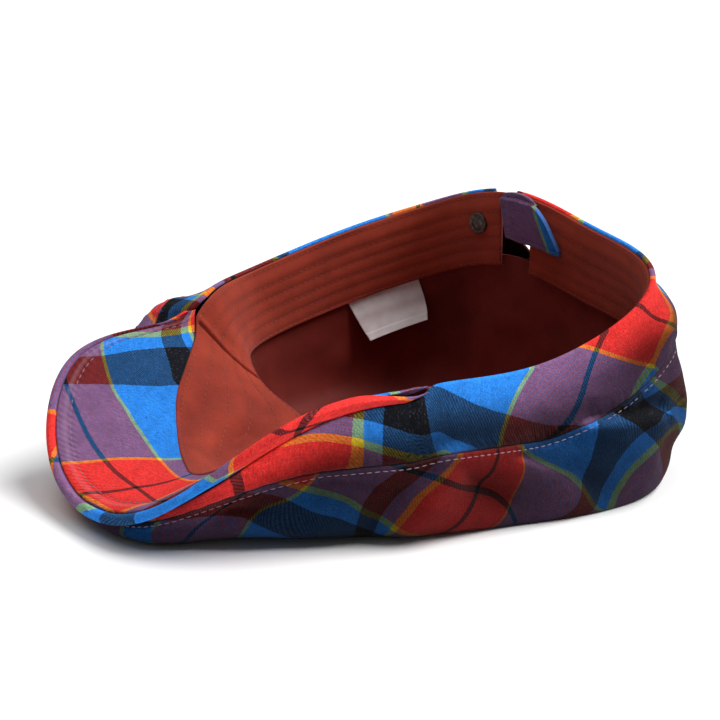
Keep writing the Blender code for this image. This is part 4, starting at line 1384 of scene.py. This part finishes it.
class CAP_OT_sweatband(bpy.types.Operator):
    """Sweatband with its rows of stitching"""

    bl_idname = "cap.sweatband"
    bl_label = "Sweatband"

    def execute(self, context):
        trim = context.scene.cap_trim
        base, shade = colour_of(trim, "band"), colour_of(trim, "band_shade")
        cloth = cotton("sweatband_cotton_twill", base, shade, 0.34, 0.00004, 0.10, 0.85)
        turn, share = np.meshgrid(np.linspace(BAND_FIRST, BAND_LAST, 640), spaced(0.032, 56))
        face = band_face(turn, share)
        out = unit(np.cross(np.gradient(face, axis=1), np.gradient(face, axis=0)))
        out = out * np.sign((out * -normal(band, turn, share)).sum(-1).mean())
        puff = band_padding(share)
        long = turn * STATION_SPAN
        flat = np.zeros_like(long)
        wave = ripple(np.stack((long * 0.6, share * 0.032, flat), -1), 0.010, 11)
        swell = ripple(np.stack((long, share * 0.02, flat), -1), 0.022, 13)
        plain = 1 - 0.7 * between(turn, *BAND_ON_PEAK)
        drag = np.sin(2 * np.pi * (2.1 * share + 0.42 * (turn - 14))) * ridge(turn, *BAND_DRAG)
        crease = ridge(turn - 0.25 * share, *BAND_CREASE)
        lift = BAND_PUFF * puff * plain + (0.00025 + 0.0003 * held(turn)) * wave + 0.0006 * swell + drag + crease
        lift = lift * between(share, 0, 1, 0.06, 0.04)
        down = walked(face, 0)
        hem_dip = edge_round(down, 0.0005) + edge_round(down[-1:] - down, 0.0005)
        outer = face + out * (lift - hem_dip)[..., None]
        inner = face - out * (BAND_THICK - 0.3 * hem_dip)[..., None]
        lay = np.stack((walked(face, 1) * MM, down * MM), -1)
        # Painted shade for the Edge map: the lit front on the peak dimmed, and the grooves between the rows, the
        # crease and the hollows of the drag folds darkened
        sunken = 0.45 * between(turn, *BAND_FRONT_SHADE) + (1 - puff) * 0.25 * plain - crease * 300 - drag * 250
        edge = np.stack((np.clip(sunken, 0, 1), long * MM), -1)
        body = cloth_body("sweatband_cloth", outer, inner, lay, edge, cloth)
        settle(body, "sweatband_cotton", "sweatband")
        thread = thread_finish("band_thread", colour_of(trim, "thread_band"))
        paths = []
        for row in BAND_ROWS:
            column = np.abs(share[:, 0] - row).argmin()
            paths.append(outer[column] + out[column] * 0.00004)
        rows = stitches("sweatband_stitches", paths, thread, 0.0027, 0.0020, 0.00017, 3)
        settle(rows, "sweatband_cotton")
        return {"FINISHED"}


class CAP_OT_lining(bpy.types.Operator):
    """Loose lining in the crown"""

    bl_idname = "cap.lining"
    bl_label = "Lining"

    def execute(self, context):
        trim = context.scene.cap_trim
        base = colour_of(trim, "lining")
        shade = tuple(value * 0.5 for value in base[:3]) + (1.0,)
        cloth = cotton("lining_weave", base, shade, 0.26, 0.00002, 0.12, 0.62)
        turn, share = np.meshgrid(np.linspace(0, COUNT, 361), spaced(0.1, 84, both=False))
        run = share * TOP_LAST
        face = lining(turn, run)
        out = -normal(lining, turn, np.clip(run, RUN_STEP, 1 - RUN_STEP))
        fade = between(run, 0, TOP_LAST, 0.18, 0.12)
        folds = 0.0016 * ripple(face * np.array((1, 1, 0.5)), 0.026, 21) + 0.0007 * ripple(face, 0.011, 23)
        lift = np.maximum(folds * fade, -0.0006)
        outer = face + out * lift[..., None]
        inner = face - out * LINING_THICK
        down = walked(face, 0)
        lay = np.stack((face[..., 0] * MM, face[..., 1] * MM + down * MM), -1)
        # Painted shade in the hollows of the lining's folds, through the Edge map
        edge = np.stack((np.clip(-folds * 500, 0, 1), down * MM), -1)
        body = cloth_body("lining_cloth", outer, inner, lay, edge, cloth, closed=True)
        settle(body, "lining_cloth", "lining")
        return {"FINISHED"}


class CAP_OT_tab(bpy.types.Operator):
    """Closing tab across the slot, and its snap"""

    bl_idname = "cap.tab"
    bl_label = "Tab and snap"

    def execute(self, context):
        trim = context.scene.cap_trim
        cloth = flannel("tartan_tab")
        along, share = np.meshgrid(spaced(0.035, 70), spaced(0.02, 36))
        shape = np.array(TAB_SHAPE)
        knots = np.linspace(0, 1, len(shape))
        shape = through(np.column_stack((knots, shape)), along[0])
        turn = shape[:, 0] + (shape[:, 2] - shape[:, 0]) * share
        share = shape[:, 1] + (shape[:, 3] - shape[:, 1]) * share
        face = band(turn, share)
        out = -normal(band, turn, share)
        down, long = walked(face, 0), walked(face, 1)
        rim = np.minimum(np.minimum(down, down[-1:] - down), np.minimum(long, long[:, -1:] - long))
        dip = edge_round(rim, TAB_THICK * 0.45)
        outer = face + out * (GAP + TAB_THICK - dip - ridge(rim, *TAB_GROOVE))[..., None]
        inner = face + out * (GAP + 0.2 * dip)[..., None]
        lay = np.stack((84 - long * MM * 0.75 + down * MM * 0.35, down * MM * 1.1 + 46), -1)
        edge = np.stack((rim * MM, long * MM), -1)
        # Painted shade: the whole tab is dimmed, as it lies in shadow
        shade = np.full(outer.shape[:2], 0.45)
        body = cloth_body("closure_tab_cloth", outer, inner, lay, edge, cloth, shade=shade)
        settle(body, "outer_cloth", "closure_tab")
        self.make_snap(trim)
        return {"FINISHED"}

    def make_snap(self, trim):
        """A domed cap with a raised rim."""
        middle, out, across, upright = snap_place()
        profile = (
            (0.00, 1.00), (0.30, 0.98), (0.55, 0.86), (0.66, 0.70), (0.72, 0.66), (0.78, 0.72), (0.90, 0.84),
            (0.97, 0.70), (1.00, 0.40), (1.00, 0.0),
        )
        sides = 48
        angles = np.linspace(0, 2 * np.pi, sides, endpoint=False)[:, None]
        spokes = np.cos(angles) * across + np.sin(angles) * upright
        spokes = SNAP_RADIUS * spokes
        rings = [middle - out * (SNAP_GAP + SNAP_THICK * tall) + wide * spokes for wide, tall in profile]
        points = [rings[0][0]] + [point for ring in rings[1:] for point in ring]
        after = [(i + 1) % sides for i in range(sides)]
        faces = [(0, 1 + after[i], 1 + i) for i in range(sides)]
        for first in range(1, len(points) - sides, sides):
            for i in range(sides):
                one, two = first + i, first + after[i]
                faces.append((one, two, two + sides, one + sides))
        faces.append(tuple(range(len(points) - sides, len(points))))
        mesh = bpy.data.meshes.new("snap_cap")
        mesh.from_pydata([tuple(point - SHIFT) for point in points], [], faces)
        mesh.polygons.foreach_set("use_smooth", np.ones(len(faces), bool))
        recipe = Recipe("snap_enamel")
        place = recipe.object_place()
        worn = recipe.range(recipe.noise(place, 0.0012, 4.0), 0.52, 0.66, 0.0, 0.7)
        colour = recipe.mix(worn, colour_of(trim, "metal"), (0.20, 0.12, 0.07, 1.0))
        relief = recipe.bump(recipe.noise(place, 0.0005, 2.0), 0.00003)
        mesh.materials.append(recipe.finish(colour, relief, 0.42, 0.0, 0.5, 0.5))
        settle(placed("snap_cap", mesh), "snap_metal", "snap")


class CAP_OT_label(bpy.types.Operator):
    """Bare care label with a folded hem"""

    bl_idname = "cap.label"
    bl_label = "Care label"

    def execute(self, context):
        trim = context.scene.cap_trim
        turn, share = np.meshgrid(np.linspace(LABEL_FIRST, LABEL_LAST, 90), spaced(0.02, 60))
        turn = turn - LABEL_SKEW * share
        face = label(turn, share)
        out = -normal(label, turn, np.clip(share, RUN_STEP, 1 - RUN_STEP))
        long = walked(face, 1)
        curl = 0.0012 * np.sin(long / long[:, -1:] * np.pi) * smooth(share)
        hem_step = 0.00035 * smooth((share - 0.84) / 0.02)
        crease = 0.0003 * ripple(face, 0.008, 31)
        outer = face + out * (curl + hem_step + crease)[..., None]
        inner = outer - out * LABEL_THICK
        recipe = Recipe("label_satin_ribbon")
        place = recipe.object_place()
        _, up = recipe.map("Cloth")
        depth, _ = recipe.map("Edge")
        rib = recipe.math("SINE", recipe.times(up, 2 * np.pi / 0.24))
        colour = recipe.dimmed(colour_of(trim, "label"), recipe.cloud(place, 0.004, 3.0, 0.88, 1.04))
        # Painted shade: towards a darker pink where the Edge map says
        colour = recipe.mix(depth, colour, (0.34, 0.20, 0.20, 1.0))
        relief = recipe.bump(rib, 0.00002)
        satin = recipe.finish(colour, relief, 0.45, 0.3, 0.3, 0.5)
        lay = np.stack((long * MM, walked(face, 0) * MM), -1)
        # Painted shade for the Edge map: along a fold across the middle, and at the top where the label goes
        # behind the sweatband
        fold = ridge(share, 0.45, 0.52, 0.12) + 0.25 * smooth((0.1 - share) / 0.1)
        edge = np.stack((fold, long * MM), -1)
        body = cloth_body("care_label_ribbon", outer, inner, lay, edge, satin)
        settle(body, "label_satin", "care_label")
        return {"FINISHED"}


class CAP_OT_stitching(bpy.types.Operator):
    """Topstitching along the crown's seam and the peak's edge"""

    bl_idname = "cap.stitching"
    bl_label = "Topstitching"

    def execute(self, context):
        cloth = context.scene.cap_cloth
        thread = thread_finish("topstitch_thread", colour_of(context.scene.cap_trim, "thread_outer"))
        turn = np.linspace(0, COUNT, 1200)
        wall = np.linalg.norm(hem(turn) - around(BELLY_PTS, turn), axis=-1)
        run = seam(turn) + SEAM_GROOVE[1] * BELLY_AT / wall
        face = crown_fine(turn, run)
        out = normal(crown_plain, turn, run)
        paths = [face + out * 0.00003]
        turn = np.linspace(PEAK_FIRST + 0.35, PEAK_LAST - 0.45, 700)
        depth = peak_depth(turn)
        reach = 1 - (2 * PEAK_ROLL + 0.0057) / depth
        face, out = peak_fine(turn, reach)
        paths.append((face - out * 0.00010)[reach > 0.15])
        rows = stitches("topstitching", paths, thread, cloth.stitch, cloth.stitch * 0.72, 0.00021, 5)
        settle(rows, "outer_cloth")
        return {"FINISHED"}


class CAP_PT_panel(bpy.types.Panel):
    """Lists the cap's colours, sizes and pieces"""

    bl_label = "Flat cap"
    bl_space_type = "VIEW_3D"
    bl_region_type = "UI"
    bl_category = "Cap"

    def draw(self, context):
        for group in (context.scene.cap_cloth, context.scene.cap_trim, context.scene.cap_stage):
            box = self.layout.box()
            for name in group.bl_rna.properties.keys():
                if name not in ("rna_type", "name"):
                    box.prop(group, name)
        for operator in OPERATORS:
            self.layout.operator(operator.bl_idname)


GROUPS = (("cap_cloth", CapCloth), ("cap_trim", CapTrim), ("cap_stage", CapStage))
OPERATORS = (
    CAP_OT_stage, CAP_OT_crown, CAP_OT_peak, CAP_OT_sweatband, CAP_OT_lining, CAP_OT_tab, CAP_OT_label,
    CAP_OT_stitching,
)


def register():
    """Adds the properties, the operators and the panel."""
    for name, group in GROUPS:
        bpy.utils.register_class(group)
        setattr(bpy.types.Scene, name, bpy.props.PointerProperty(type=group))
    for operator in OPERATORS:
        bpy.utils.register_class(operator)
    bpy.utils.register_class(CAP_PT_panel)


def unregister():
    """Takes them away again."""
    bpy.utils.unregister_class(CAP_PT_panel)
    for operator in reversed(OPERATORS):
        bpy.utils.unregister_class(operator)
    for name, group in reversed(GROUPS):
        delattr(bpy.types.Scene, name)
        bpy.utils.unregister_class(group)


def main():
    """Makes the whole cap on its stage."""
    register()
    for operator in OPERATORS:
        area, name = operator.bl_idname.split(".")
        getattr(getattr(bpy.ops, area), name)()


if __name__ == "__main__":
    main()
